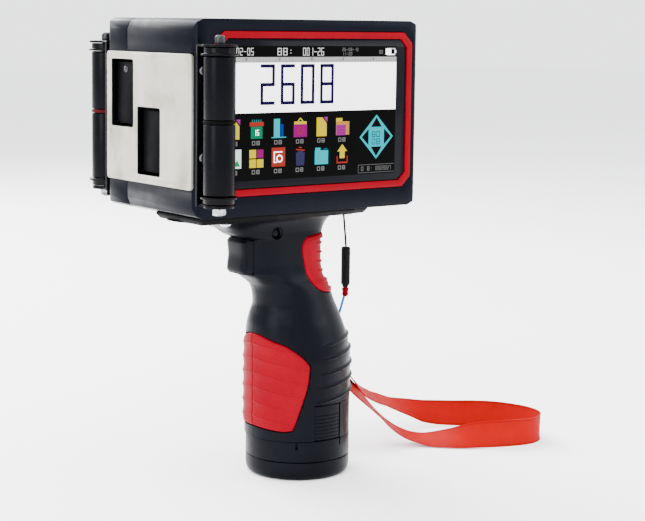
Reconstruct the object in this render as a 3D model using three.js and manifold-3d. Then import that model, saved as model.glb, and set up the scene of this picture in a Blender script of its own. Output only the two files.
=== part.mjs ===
// Handheld double-head date coder: touchscreen head with two staggered ink
// cartridges behind a steel face plate, two guide rollers, a pistol grip with a
// slide-in battery and a wrist strap.
// Millimetres, +Z up.  Origin: centre of the battery base.  -X is the printing
// face, -Y the screen side.

import * as THREE from 'three';
import { mergeVertices } from 'three/addons/utils/BufferGeometryUtils.js';
import Module from 'manifold-3d';

const wasm = await Module();
wasm.setup();

// ---------------------------------------------------------------- dimensions
const GAP = 0.3;

// Head
const HEAD = { x0: -84.3, x1: 56.5, y0: -28, y1: 57, z0: 142.5, z1: 240, chamfer: 5.7 };
const SEAM_Y = 35.3;
const WALL = 2.6;
const FAR_RADIUS = 5;
const NEAR_RADIUS = 2;

// Screen
const RING = { x0: -73, x1: 52, z0: 152.6, z1: 234, band: 3.5, cut: 5.7, y0: -28.5, y1: -26.1 };
const GLASS_Y = [-27.7, -26.1];
const LCD = { x0: -66.2, x1: 45.2, z0: 158.8, z1: 228.2, y0: -25.8, y1: -20 };

// Printing face
const PLATE = { y0: -26.2, y1: 55, z0: 156.8, z1: 222.8, x0: -84.9, x1: -83.4 };
const SLOT_UPPER = { y0: 28.4, y1: 50, z0: 184.4, z1: 219 };
const SLOT_LOWER = { y0: 2.5, y1: 24.2, z0: 161, z1: 195.3 };
const CARTRIDGE = { x0: -80, x1: -8, height: 52, below: 6.3, snout: 2.6 };

// Rear end
const DOOR = { y0: 3, z0: 153.5, z1: 229, x0: 53, x1: 56.2, pinX: 54.6, pinY: 50.6 };

// Guide rollers
const ROLLER_X = -77.4;
const ROLLER_NEAR_Y = -39.6;
const ROLLER_FAR_Y = 68.6;
const ROLLER_R = 7.75;

// Handle sections: height, front X, rear X, half width, roundness exponent
const HANDLE = [
  [21.3, -28.8, 27.8, 27.8, 2],
  [62, -28.8, 27.8, 27.8, 2],
  [68.6, -29, 27.2, 26.6, 2],
  [75, -29.4, 26.2, 25, 2],
  [81, -29.1, 23.9, 23.4, 2],
  [86, -28.1, 21.9, 21.5, 2],
  [91.5, -26.4, 19.4, 19.8, 2],
  [98.8, -27.3, 16.4, 17.8, 2.1],
  [102.4, -29, 15, 16.6, 2.3],
  [105.4, -32.6, 12.2, 15, 2.6],
  [109.2, -37.5, 10.8, 14, 3],
  [114, -37.5, 10.3, 13.5, 3],
  [127, -37.5, 10.2, 13.5, 3],
  [129, -41, 10.6, 13.5, 3],
  [131.2, -46, 11.4, 13.5, 3],
  [134.4, -52, 13, 14.4, 3],
  [136.8, -63, 15.6, 15.8, 3],
  [138.9, -79, 21, 18, 3],
];
const HANDLE_RINGS = [
  21.3, 45, 62, 66, 70, 74, 78, 82, 86, 90, 94, 98, 100.4, 102.4, 105.4, 109.2,
  114, 120, 127, 129, 131.2, 134.4, 136.8, 138.9,
];
const SIDES = 32;

// Red grip pad edge: degrees from the front, height
const GRIP_EDGE = [
  [0, 77], [12, 76.1], [25, 73.9], [40, 71.6], [52.6, 68], [61, 64.7], [68.3, 60],
  [65, 50.4], [58.5, 40.5], [52.4, 31.7], [48, 27], [40, 26.4], [20, 26.9], [0, 27.5],
];
const GRIP_RIDGES = 7;

// Red thumb pad, side view X and Z
const THUMB_EDGE = [
  [-4.6, 127.2], [-7, 124.8], [-7.8, 121.6], [-6.4, 113], [-4.6, 106], [-2.2, 101.8], [1, 99.4],
  [6, 97.6], [24, 95.2], [24, 129], [6, 128.4],
];

const RIB_LEVELS = [75, 68, 60.3, 53.2, 46];
const BATTERY = { stem: 21.5, stemTop: 79, seam: 10, top: 21, r: 27.8 };
const LATCH = { half: 8.3, z0: 21.3, z1: 40, y0: 23.6, y1: 27.7 };
const TRIGGER = { x0: -42, x1: -30, half: 8.5, z0: 109.4, z1: 127.6 };

// Strap
const ANCHOR = [40, 14];
const SLEEVE = [42.4, 14];
const LINK_ROUTE = [
  [42.2, 14, 91.1], [41.4, 14.1, 87], [39.2, 14.4, 80], [37.2, 15.3, 73], [36.6, 16, 68.4],
];
// X, Y, Z and how far the strip leans back from upright, in degrees
const RIBBON_ROUTE = [
  [36.6, 16.6, 58.2, 90], [37.2, 16.5, 53.5, 90], [39.6, 16.2, 47, 90], [43.9, 15.2, 40.5, 89],
  [47.2, 14.2, 36.6, 88], [52, 12.4, 31.2, 86], [57, 10.4, 25.6, 85], [62.4, 8.4, 19.6, 85],
  [69.5, 6.2, 12.4, 84], [78.7, 3.6, 6.2, 82], [87.6, -1.5, 3.3, 78], [97.9, -13, 4.6, 62],
  [109.4, -24.9, 7.3, 32], [123.8, -33.9, 8.1, 8], [137.6, -37.6, 8.1, 0],
  [146.9, -35.2, 8.1, 0], [153.2, -29, 8.1, 0], [156, -20, 8.1, 0], [155, -9.5, 8.1, 2],
  [149.5, 3.2, 8.1, 6], [140, 13, 8.1, 12], [129.5, 20.6, 8.1, 22], [115.1, 29, 9.4, 42],
  [104.9, 30.5, 12.4, 60], [93.7, 30, 16, 74], [82.9, 29.5, 20.6, 79], [76, 28.8, 23.4, 81],
  [66.5, 26.8, 28.4, 84], [58.2, 24, 35, 86], [50.2, 20.8, 42.4, 88], [44.2, 18.2, 48.6, 90],
  [39.6, 16.4, 54, 90], [37.9, 15.95, 58.2, 90],
];
const RIBBON = { width: 15, thick: 0.8, steps: 60 };

// ------------------------------------------------------------------- helpers
function toManifold(geometry) {
  let g = geometry.index ? geometry.toNonIndexed() : geometry.clone();
  for (const key of Object.keys(g.attributes)) {
    if (key !== 'position') g.deleteAttribute(key);
  }
  g = mergeVertices(g, 1e-4);
  const mesh = new wasm.Mesh({
    numProp: 3,
    vertProperties: new Float32Array(g.attributes.position.array),
    triVerts: new Uint32Array(g.index.array),
  });
  mesh.merge();
  const solid = new wasm.Manifold(mesh);
  if (solid.volume() < 0) throw new Error('inside-out solid');
  return solid;
}

function toGeometry(solid) {
  const mesh = solid.getMesh();
  const g = new THREE.BufferGeometry();
  g.setAttribute('position', new THREE.BufferAttribute(new Float32Array(mesh.vertProperties), 3));
  g.setIndex(new THREE.BufferAttribute(new Uint32Array(mesh.triVerts), 1));
  return g;
}

// Largest body of a cut solid; anything else must be a sliver.
function single(solid, name) {
  const bodies = solid.decompose().sort((p, q) => q.volume() - p.volume());
  for (const extra of bodies.slice(1)) {
    if (extra.volume() > 1.5) throw new Error(name + ' has a second body ' + extra.volume());
  }
  return bodies[0];
}

const cut = (a, ...rest) => rest.reduce((s, b) => s.subtract(b), a);
const join = (a, ...rest) => rest.reduce((s, b) => s.add(b), a);
const common = (a, ...rest) => rest.reduce((s, b) => s.intersect(b), a);

function box(x0, x1, y0, y1, z0, z1) {
  const g = new THREE.BoxGeometry(x1 - x0, y1 - y0, z1 - z0);
  g.translate((x0 + x1) / 2, (y0 + y1) / 2, (z0 + z1) / 2);
  return toManifold(g);
}

function shapeOf(points) {
  return new THREE.Shape(points.map((p) => new THREE.Vector2(p[0], p[1])));
}

// Outline in plane 'xy', 'xz' or 'yz', extruded along the remaining axis.
function prism(plane, points, from, to) {
  const shape = points instanceof THREE.Shape ? points : shapeOf(points);
  const g = new THREE.ExtrudeGeometry(shape, {
    depth: to - from, bevelEnabled: false, curveSegments: 4,
  });
  g.translate(0, 0, from);
  const m = new THREE.Matrix4();
  if (plane === 'xz') m.set(1, 0, 0, 0, 0, 0, 1, 0, 0, 1, 0, 0, 0, 0, 0, 1);
  if (plane === 'yz') m.set(0, 0, 1, 0, 1, 0, 0, 0, 0, 1, 0, 0, 0, 0, 0, 1);
  g.applyMatrix4(m);
  if (plane === 'xz') flip(g);
  return toManifold(g);
}

function flip(g) {
  const p = g.attributes.position;
  const v = [new THREE.Vector3(), new THREE.Vector3()];
  for (let i = 0; i < p.count; i += 3) {
    v[0].fromBufferAttribute(p, i + 1);
    v[1].fromBufferAttribute(p, i + 2);
    p.setXYZ(i + 1, v[1].x, v[1].y, v[1].z);
    p.setXYZ(i + 2, v[0].x, v[0].y, v[0].z);
  }
}

// Rectangle outline with each corner cut or rounded by r.
function corners(x0, x1, y0, y1, r, steps = 1) {
  const out = [];
  const centre = [[x1 - r, y1 - r], [x0 + r, y1 - r], [x0 + r, y0 + r], [x1 - r, y0 + r]];
  centre.forEach((c, i) => {
    for (let k = 0; k <= steps; k += 1) {
      const a = (i + k / steps) * Math.PI / 2;
      out.push([c[0] + r * Math.cos(a), c[1] + r * Math.sin(a)]);
    }
  });
  return out;
}

// Body of revolution from [radius, position] pairs; axis 'x', 'y' or 'z'.
function turned(profile, axis, centre, segments = 32) {
  const pts = profile.map((p) => new THREE.Vector2(p[0], p[1]));
  pts.push(pts[0].clone());
  const g = new THREE.LatheGeometry(pts, segments);
  if (axis === 'z') g.rotateX(Math.PI / 2);
  if (axis === 'x') g.rotateZ(-Math.PI / 2);
  g.translate(centre[0], centre[1], centre[2]);
  let n = g.toNonIndexed();
  let volume = 0;
  const p = n.attributes.position;
  const v = [0, 1, 2].map(() => new THREE.Vector3());
  for (let i = 0; i < p.count; i += 3) {
    v.forEach((q, k) => q.fromBufferAttribute(p, i + k));
    volume += v[0].dot(v[1].clone().cross(v[2]));
  }
  if (volume < 0) flip(n);
  return toManifold(n);
}

function rod(axis, centre, r, from, to, segments = 28) {
  const profile = [[0, from], [r, from], [r, to], [0, to]];
  return turned(profile, axis, centre, segments);
}

// Solid from rings of equal length, capped at both ends.
function skin(rings) {
  const n = rings[0].length;
  const pos = [];
  const tri = (a, b, c) => pos.push(...a, ...b, ...c);
  for (let i = 0; i + 1 < rings.length; i += 1) {
    for (let k = 0; k < n; k += 1) {
      const m = (k + 1) % n;
      tri(rings[i][k], rings[i][m], rings[i + 1][m]);
      tri(rings[i][k], rings[i + 1][m], rings[i + 1][k]);
    }
  }
  const last = rings.length - 1;
  for (let k = 1; k + 1 < n; k += 1) {
    tri(rings[0][0], rings[0][k + 1], rings[0][k]);
    tri(rings[last][0], rings[last][k], rings[last][k + 1]);
  }
  const g = new THREE.BufferGeometry();
  g.setAttribute('position', new THREE.BufferAttribute(new Float32Array(pos), 3));
  return toManifold(g);
}

function sectionAt(z) {
  let i = 0;
  while (i < HANDLE.length - 2 && z > HANDLE[i + 1][0]) i += 1;
  const [a, b] = [HANDLE[i], HANDLE[i + 1]];
  const t = Math.min(1, Math.max(0, (z - a[0]) / (b[0] - a[0])));
  return a.map((v, k) => v + (b[k] - v) * t);
}

// Handle body grown by offset(z) at the given heights.
function handleBody(levels, offset) {
  return skin(levels.map((z) => {
    const [, front, rear, half, power] = sectionAt(z);
    const off = offset(z);
    const cx = (front + rear) / 2;
    const ax = (rear - front) / 2 + off;
    const ay = half + off;
    const ring = [];
    for (let k = 0; k < SIDES; k += 1) {
      const a = (k / SIDES) * 2 * Math.PI;
      const c = Math.cos(a);
      const s = Math.sin(a);
      const e = 2 / power;
      ring.push([
        cx + ax * Math.sign(c) * Math.abs(c) ** e,
        ay * Math.sign(s) * Math.abs(s) ** e,
        z,
      ]);
    }
    return ring;
  }));
}

// Wedge between two radii over an outline in degrees-from-front and height.
// side is -1 toward the screen side and +1 toward the far side.
function wedge(outline, side, r0, r1) {
  const flat = outline.map((p) => new THREE.Vector2(p[0], p[1]));
  if (THREE.ShapeUtils.area(flat) < 0) flat.reverse();
  const faces = THREE.ShapeUtils.triangulateShape(flat, []);
  const at = (p, r) => {
    const a = p.x * Math.PI / 180;
    return [-r * Math.cos(a), side * r * Math.sin(a), p.y];
  };
  const pos = [];
  const tri = (a, b, c) => (side > 0 ? pos.push(...a, ...c, ...b) : pos.push(...a, ...b, ...c));
  for (const [i, j, k] of faces) {
    tri(at(flat[i], r1), at(flat[j], r1), at(flat[k], r1));
    tri(at(flat[i], r0), at(flat[k], r0), at(flat[j], r0));
  }
  flat.forEach((p, i) => {
    const q = flat[(i + 1) % flat.length];
    tri(at(p, r0), at(q, r0), at(q, r1));
    tri(at(p, r0), at(q, r1), at(p, r1));
  });
  const g = new THREE.BufferGeometry();
  g.setAttribute('position', new THREE.BufferAttribute(new Float32Array(pos), 3));
  return toManifold(g);
}

// Outline moved outward by d (negative d inward) from its own centre line.
function grown(outline, d) {
  const n = outline.length;
  const flat = outline.map((p) => new THREE.Vector2(p[0], p[1]));
  const sign = THREE.ShapeUtils.area(flat) > 0 ? 1 : -1;
  return flat.map((p, i) => {
    const a = flat[(i + n - 1) % n];
    const b = flat[(i + 1) % n];
    const u = p.clone().sub(a).normalize();
    const w = b.clone().sub(p).normalize();
    const nu = new THREE.Vector2(u.y, -u.x);
    const nw = new THREE.Vector2(w.y, -w.x);
    const m = nu.add(nw).normalize();
    const k = (sign * d) / Math.max(0.5, Math.abs(m.dot(nw)));
    return [p.x + m.x * k, p.y + m.y * k];
  });
}

const group = new THREE.Group();
group.name = 'handheld_date_coder';

function add(name, solid, colour, roughness, metalness) {
  const material = new THREE.MeshStandardMaterial({ color: colour, roughness, metalness });
  material.name = name;
  const geometry = solid.isBufferGeometry ? solid : toGeometry(single(solid, name));
  const mesh = new THREE.Mesh(geometry, material);
  mesh.name = name;
  group.add(mesh);
}

const BLACK = 0x14161b;
const RED = 0xc81e37;
const PAD = 0xd7283c;
const STEEL = 0xc9c4bb;
const CHROME = 0xd9dadc;
const DARK = 0x202226;

// ---------------------------------------------------------------------- head
const headOutline = corners(HEAD.x0, HEAD.x1, HEAD.z0, HEAD.z1, HEAD.chamfer, 2);
function headPlan(inset) {
  const [x0, x1] = [HEAD.x0 + inset, HEAD.x1 - inset];
  const [y0, y1] = [HEAD.y0 + inset, HEAD.y1 - inset];
  const near = corners(x0, x1, y0, y1, NEAR_RADIUS, 1).slice(4);
  const far = corners(x0, x1, y0, y1, FAR_RADIUS - inset, 4).slice(0, 10);
  return [...far, ...near];
}
const headBlock = common(
  prism('xz', headOutline, HEAD.y0, HEAD.y1),
  prism('xy', headPlan(0), HEAD.z0 - 1, HEAD.z1 + 1),
);
const innerOutline = corners(
  HEAD.x0 + WALL, HEAD.x1 - WALL, HEAD.z0 + WALL, HEAD.z1 - WALL, HEAD.chamfer - 1, 2,
);
const headInside = common(
  prism('xz', innerOutline, HEAD.y0 + 4.6, HEAD.y1 - WALL),
  prism('xy', headPlan(WALL), HEAD.z0 - 1, HEAD.z1 + 1),
);
const ringOutline = (d) => corners(
  RING.x0 - d, RING.x1 + d, RING.z0 - d, RING.z1 + d, RING.cut, 1,
);
const screenPocket = prism('xz', ringOutline(GAP), HEAD.y0 - 1, LCD.y0);
const screenWindow = box(LCD.x0 - GAP, LCD.x1 + GAP, HEAD.y0 - 1, -20, LCD.z0 - GAP, LCD.z1 + GAP);
const platePocket = box(
  HEAD.x0 - 1, PLATE.x1 + GAP, PLATE.y0 - GAP, PLATE.y1 + GAP, PLATE.z0 - GAP, PLATE.z1 + GAP,
);
const plateWindow = box(HEAD.x0 - 1, -80, -18, 52.5, 158.5, 221);
const doorHole = box(
  50, 60, DOOR.y0 - GAP, DOOR.pinY + (DOOR.x1 - DOOR.x0) / 2 + GAP, DOOR.z0 - GAP, DOOR.z1 + GAP,
);
const pinHole = rod('z', [DOOR.pinX, DOOR.pinY, 0], 1 + GAP, 149, 233, 16);
const portHoles = join(
  box(50, 60, -18.3, -7.7, 159.7, 167.3),
  rod('x', [0, -13, 181], 4.3, 50, 60, 24),
  rod('x', [0, -13, 207], 5.3, 50, 60, 24),
);
const cableHole = rod('z', [-1, 0, 0], 5, 138, 150, 20);
const headShell = cut(
  headBlock, headInside, screenPocket, screenWindow, platePocket, plateWindow,
  doorHole, pinHole, portHoles, cableHole,
);
const nearSide = box(-200, 200, -100, SEAM_Y - GAP / 2, 0, 300);
const farSide = box(-200, 200, SEAM_Y + GAP / 2, 100, 0, 300);
add('main_shell', common(headShell, nearSide), BLACK, 0.45, 0);
add('far_cover', common(headShell, farSide), BLACK, 0.45, 0);

const ringHole = (d) => corners(
  RING.x0 + RING.band - d, RING.x1 - RING.band + d,
  RING.z0 + RING.band - d, RING.z1 - RING.band + d, RING.cut - 1.4, 1,
);
add(
  'red_trim_ring',
  cut(
    prism('xz', ringOutline(0), RING.y0, RING.y1),
    prism('xz', ringHole(0), RING.y0 - 1, RING.y1 + 1),
  ),
  RED, 0.4, 0,
);
add('touch_glass', prism('xz', ringHole(-GAP), GLASS_Y[0], GLASS_Y[1]), 0x0a0b0e, 0.12, 0);
add('lcd_module', box(LCD.x0, LCD.x1, LCD.y0, LCD.y1, LCD.z0, LCD.z1), 0x2b3038, 0.5, 0.1);
add(
  'main_board',
  join(
    box(-64, 42, -16, -14.4, 156, 231),
    box(-40, -24, -14.5, -12.8, 190, 206),
    box(-6, 12, -14.5, -11.4, 176, 190),
    box(22, 36, -14.5, -8, 210, 226),
    box(26, 38, -14.5, -9, 160, 170),
  ),
  0x1d5c3a, 0.6, 0,
);

// ------------------------------------------------------------- printing face
const hole = (s, x0, x1, d) => prism(
  'yz', corners(s.y0 - d, s.y1 + d, s.z0 - d, s.z1 + d, 1.6, 2), x0, x1,
);
add(
  'nozzle_plate',
  cut(
    prism('yz', corners(PLATE.y0, PLATE.y1, PLATE.z0, PLATE.z1, 1.2, 1), PLATE.x0, PLATE.x1),
    hole(SLOT_UPPER, -90, -80, 0), hole(SLOT_LOWER, -90, -80, 0),
  ),
  STEEL, 0.35, 0.9,
);
for (const [name, s] of [['ink_cartridge_upper', SLOT_UPPER], ['ink_cartridge_lower', SLOT_LOWER]]) {
  const z0 = s.z0 - CARTRIDGE.below;
  const mid = (s.y0 + s.y1) / 2;
  add(
    name,
    join(
      prism(
        'yz', corners(mid - 10.4, mid + 10.4, z0, z0 + CARTRIDGE.height, 2, 1),
        CARTRIDGE.x0, CARTRIDGE.x1,
      ),
      prism(
        'yz', corners(mid - 9.2, mid + 9.2, s.z0 + 1.5, s.z1 - 1.5, 1.2, 1),
        CARTRIDGE.x0 - CARTRIDGE.snout, CARTRIDGE.x0 + 1,
      ),
      box(CARTRIDGE.x1 - 1, CARTRIDGE.x1 + 6, mid - 6, mid + 6, z0 + 38, z0 + 41),
    ),
    0x17181b, 0.5, 0,
  );
}
const upperMid = (SLOT_UPPER.y0 + SLOT_UPPER.y1) / 2;
const lowerMid = (SLOT_LOWER.y0 + SLOT_LOWER.y1) / 2;
add(
  'cartridge_cradle',
  join(
    box(-79, -4, lowerMid - 13.4, upperMid + 13.4, 147, 149.6),
    box(-79, -4, lowerMid - 13.4, lowerMid - 10.8, 149, 196),
    box(-79, -4, lowerMid + 10.8, upperMid - 10.8, 149, 220),
    box(-79, -4, upperMid + 10.8, upperMid + 13.4, 149, 220),
    box(-79, -4, upperMid - 11, upperMid + 11, 174.6, 177.4),
    box(-79, -4, lowerMid - 11, lowerMid + 11, 149, 153.6),
  ),
  0x2a2c30, 0.6, 0,
);

// ------------------------------------------------------------------ rear end
const doorHalf = (DOOR.x1 - DOOR.x0) / 2;
const bore = rod('z', [DOOR.pinX, DOOR.pinY, 0], 1 + GAP, 140, 240, 16);
add(
  'rear_door',
  cut(
    join(
      box(DOOR.x0, DOOR.x1, DOOR.y0, DOOR.pinY, DOOR.z0, DOOR.z1),
      rod('z', [DOOR.pinX, DOOR.pinY, 0], doorHalf, DOOR.z0, DOOR.z1, 20),
      box(DOOR.x1 - 0.5, DOOR.x1 + 1.6, DOOR.y0 + 3, DOOR.y0 + 5.4, 180, 202),
    ),
    bore,
  ),
  BLACK, 0.45, 0,
);
add('door_pin', rod('z', [DOOR.pinX, DOOR.pinY, 0], 1, 149.6, 232.4, 16), CHROME, 0.2, 1);
add(
  'power_button',
  turned([[0, 53.4], [5, 53.4], [5, 57.2], [4.4, 57.8], [0, 57.8]], 'x', [0, -13, 207], 24),
  RED, 0.4, 0,
);
add(
  'usb_socket',
  cut(box(46, 56.2, -18, -8, 160, 167), box(48, 60, -17.2, -8.8, 160.8, 166.2)),
  CHROME, 0.3, 0.9,
);
add(
  'charge_socket',
  cut(rod('x', [0, -13, 181], 4, 46, 56.2, 24), turned(
    [[1, 49], [2.8, 49], [2.8, 60], [1, 60]], 'x', [0, -13, 181], 20,
  )),
  DARK, 0.5, 0,
);

// ------------------------------------------------------------- guide rollers
for (const [tag, y, side] of [['near', ROLLER_NEAR_Y, -1], ['far', ROLLER_FAR_Y, 1]]) {
  const face = side < 0 ? HEAD.y0 - GAP : HEAD.y1 + GAP;
  const out = face + side * 1.6;
  const [w0, w1] = side < 0 ? [out, face] : [face, out];
  const xBack = side < 0 ? -74 : -66;
  const axisAt = [ROLLER_X, y, 0];
  const arm = (z0, z1, r) => join(
    rod('z', axisAt, r, z0, z1, 20),
    box(ROLLER_X - r * 0.72, ROLLER_X + 3.4, Math.min(y, face), Math.max(y, face), z0, z1),
  );
  const screwHole = (z) => rod('y', [-80.6, 0, z], 1.5, w0 - 9, w1 + 9, 12);
  let bracket = join(
    box(HEAD.x0 + 0.6, xBack, w0, w1, 149.4, 227.8),
    arm(226.7, 227.8, 9), arm(149.5, 151, 7.6),
  );
  bracket = cut(
    bracket, rod('z', axisAt, 2.2 + GAP, 225, 229, 14), rod('z', axisAt, 1.6 + GAP, 148, 153, 14),
    screwHole(215), screwHole(173),
  );
  add(tag + '_roller_bracket', bracket, BLACK, 0.45, 0.1);
  add(
    tag + '_roller_axle',
    turned(
      [
        [0, 145.4], [1.6, 145.4], [1.6, 151.3], [2.2, 151.3], [2.2, 228.1], [2.6, 228.1],
        [2.6, 231.2], [1.9, 232.1], [0, 232.1],
      ], 'z', axisAt, 16,
    ),
    DARK, 0.3, 0.8,
  );
  add(
    tag + '_roller_nut',
    cut(rod('z', axisAt, 3.7, 146, 149.2, 6), rod('z', axisAt, 1.9, 140, 152, 16)),
    CHROME, 0.2, 1,
  );
  add(
    tag + '_roller',
    turned(
      [
        [2.5, 155.2], [7, 155.2], [ROLLER_R, 155.8], [ROLLER_R, 189.6], [6.5, 189.6],
        [6.5, 192], [ROLLER_R, 192], [ROLLER_R, 221.6], [7, 222.2], [2.5, 222.2],
      ], 'z', axisAt, 24,
    ),
    0x101114, 0.3, 0.2,
  );
  add(
    tag + '_roller_band',
    turned([[6.8, 190], [7.9, 190], [7.9, 191.6], [6.8, 191.6]], 'z', axisAt, 24),
    side > 0 ? RED : DARK, 0.5, 0,
  );
  add(
    tag + '_roller_cap_top',
    turned(
      [[2.5, 222.5], [9.2, 222.5], [9.2, 223.5], [7.75, 223.5], [7.75, 226.1], [7.4, 226.4],
        [2.5, 226.4]], 'z', axisAt, 24,
    ),
    0x17181b, 0.3, 0.3,
  );
  add(
    tag + '_roller_cap_bottom',
    turned(
      [[2.5, 151.6], [7.75, 151.6], [7.75, 153.9], [9.2, 153.9], [9.2, 154.9],
        [2.5, 154.9]], 'z', axisAt, 24,
    ),
    0x17181b, 0.3, 0.3,
  );
  for (const [end, z] of [['top', 215], ['bottom', 173]]) {
    const head = out + side * GAP;
    const tip = face + side * 0.2;
    const profile = [
      [0, head + side * 1.4], [1.9, head + side * 1.2], [2.3, head + side * 0.4],
      [2.3, head], [1.2, head], [1.2, tip], [0, tip],
    ];
    add(tag + '_bracket_screw_' + end, turned(profile, 'y', [-80.6, 0, z], 12), CHROME, 0.2, 1);
  }
}

// --------------------------------------------------------------------- strap
// (before the handle so the soft parts stay together in the list)
function polylineCurve(points) {
  return new THREE.CatmullRomCurve3(points.map((p) => new THREE.Vector3(...p)), false, 'centripetal');
}

function tube(points, r, steps, sides) {
  const shape = new THREE.Shape();
  for (let k = 0; k < sides; k += 1) {
    const a = (k / sides) * 2 * Math.PI;
    if (k) shape.lineTo(r * Math.cos(a), r * Math.sin(a));
    else shape.moveTo(r, 0);
  }
  const g = new THREE.ExtrudeGeometry(shape, { steps, extrudePath: polylineCurve(points) });
  return toManifold(g);
}

function ribbonStrip(stations, width, thick, steps) {
  const curve = new THREE.CatmullRomCurve3(stations.map(([x, y, z]) => new THREE.Vector3(x, y, z)));
  const level = new THREE.Vector3(0.4512, 0.8924, 0);
  const rings = [];
  for (let i = 0; i <= steps; i += 1) {
    const along = i / steps;
    const t = curve.getUtoTmapping(along) * (stations.length - 1);
    const k = Math.min(stations.length - 2, Math.floor(t));
    const lean = stations[k][3] + (stations[k + 1][3] - stations[k][3]) * (t - k);
    const p = curve.getPointAt(along);
    const d = curve.getTangentAt(along);
    if (i === 0) d.set(0, 0, -1);
    if (i === steps) d.set(0, 0, 1);
    const a = THREE.MathUtils.degToRad(lean);
    const w = level.clone().multiplyScalar(Math.sin(a));
    w.z = Math.cos(a);
    w.addScaledVector(d, -w.dot(d)).normalize();
    const n = d.clone().cross(w).normalize();
    const ring = [];
    for (const [u, v] of [[-1, -1], [-1, 1], [1, 1], [1, -1]]) {
      const q = p.clone().addScaledVector(n, (u * thick) / 2).addScaledVector(w, (v * width) / 2);
      ring.push([q.x, q.y, q.z]);
    }
    rings.push(ring);
  }
  return skin(rings);
}

add(
  'strap_anchor',
  cut(
    prism('xz', corners(ANCHOR[0] - 3, ANCHOR[0] + 3, 138.2, 142.2, 1, 2), ANCHOR[1] - 1, ANCHOR[1] + 1),
    rod('y', [ANCHOR[0], 0, 140], 1, 0, 30, 12),
  ),
  CHROME, 0.25, 1,
);
add(
  'strap_string',
  tube([[ANCHOR[0], ANCHOR[1], 137.9], [41.4, 14, 126], [SLEEVE[0], SLEEVE[1], 115.4]], 0.6, 12, 8),
  0x0c0c0e, 0.8, 0,
);
add(
  'strap_sleeve',
  turned(
    [[0, 91.6], [1.5, 91.6], [1.7, 93], [2.4, 94.6], [2.4, 114.7], [2, 115.1], [0, 115.1]],
    'z', [SLEEVE[0], SLEEVE[1], 0], 20,
  ),
  0x0e0e10, 0.7, 0,
);
add('strap_link', tube(LINK_ROUTE, 0.75, 14, 8), 0x1d6fb8, 0.6, 0);
add('strap_crimp', (() => {
  const g = new THREE.BoxGeometry(15.6, 3.6, 8.4);
  g.rotateZ(Math.atan2(0.89, 0.45));
  g.translate(37.2, 16.3, 63.8);
  return toManifold(g);
})(), CHROME, 0.25, 1);
add(
  'strap_ribbon', ribbonStrip(RIBBON_ROUTE, RIBBON.width, RIBBON.thick, RIBBON.steps),
  0xeb3c37, 0.6, 0,
);

// -------------------------------------------------------------------- handle
const saddleOutline = [
  [-81.6, -24], [-78.6, -27], [16, -27], [18, -25.6], [27, -23.6], [28, -22], [28, 14],
  [24, 17], [-77, 17], [-80, 14],
];
const saddleHole = rod('z', [-62, -22.4, 0], 1.5 + GAP, 138, 145, 16);
add(
  'saddle_plate',
  cut(prism('xy', saddleOutline, 139.2, 142.2), cableHole, saddleHole),
  BLACK, 0.45, 0,
);
add(
  'saddle_screw',
  turned(
    [[0, 137.4], [2, 137.4], [2.8, 138], [2.8, 138.9], [1.4, 138.9], [1.4, 142], [0, 142]],
    'z', [-62, -22.4, 0], 20,
  ),
  CHROME, 0.2, 1,
);

const ridged = (z) => {
  const pitch = (77 - 27) / GRIP_RIDGES;
  const phase = ((z - 27) / pitch) % 1;
  return 0.35 + (phase > 0.12 && phase < 0.88 ? 0.5 : 0);
};
const ridgeLevels = [];
for (let i = 0; i < GRIP_RIDGES; i += 1) {
  const z = 27 + (i * 50) / GRIP_RIDGES;
  for (const f of [0.02, 0.2, 0.8, 0.98]) ridgeLevels.push(z + (f * 50) / GRIP_RIDGES);
}
const padLevels = [22, 26, ...ridgeLevels, 78, 80];
const coarse = [22, 62, 68.6, 75, 81];
const innerLevels = [90, 95, 98.8, 102.2, 105.2, 107.4, 114, 126, 128.4];

const full = handleBody(HANDLE_RINGS, () => 0);
const padInner = handleBody(coarse, () => -1.2);
const padFloor = handleBody(coarse, () => -1.5);
const padOuter = handleBody(padLevels, ridged);
const thumbPrism = prism('xz', THUMB_EDGE, -30, 30);
const thumbPrismGrown = prism('xz', grown(THUMB_EDGE, GAP), -30, 30);
const thumbOuter = handleBody(innerLevels, () => 0.7);
const thumbInner = handleBody(innerLevels, () => -1.2);
const thumbFloor = handleBody(innerLevels, () => -1.5);

const ribs = RIB_LEVELS.map((z, i) => common(
  cut(
    handleBody([z - 1.2, z, z + 1.2], (h) => (Math.abs(h - z) > 0.8 ? 0.02 : 0.75)),
    handleBody([z - 2, z + 2], () => -1),
  ),
  box(-1 - 1.6 * i, 60, -60, 60, 0, 100),
));

const batteryRoom = join(
  rod('z', [0, 0, 0], BATTERY.stem + 0.5, 0, 79.6, 32),
  rod('z', [0, 0, 0], 17, 79, 84, 24),
  box(-6, 4, -6, 6, 83, 140),
);
const latchRoom = join(
  box(-LATCH.half - GAP, LATCH.half + GAP, -40, -20, 0, LATCH.z1 + GAP),
  box(-LATCH.half - GAP, LATCH.half + GAP, 20, 40, 0, LATCH.z1 + GAP),
);
const triggerRoom = join(
  box(-60, -25.6, -TRIGGER.half - GAP, TRIGGER.half + GAP, TRIGGER.z0 - GAP, TRIGGER.z1 + GAP),
  box(-26, -5, -6, 6, 110.5, 124.5),
);
const handleScrewRoom = join(
  rod('y', [-24, 0, 130.5], 2.5, -30, -9.5, 20),
  rod('y', [-24, 0, 130.5], 1.6, -10, 9, 16),
);
let handle = full;
for (const rib of ribs) handle = handle.add(rib);
for (const side of [-1, 1]) {
  const region = common(cut(handleBody(coarse, () => 4), padFloor), wedge(grown(GRIP_EDGE, 0.6), side, 10, 46));
  handle = handle.subtract(region);
}
handle = cut(handle, common(thumbPrismGrown, cut(handleBody(innerLevels, () => 4), thumbFloor)));
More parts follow.
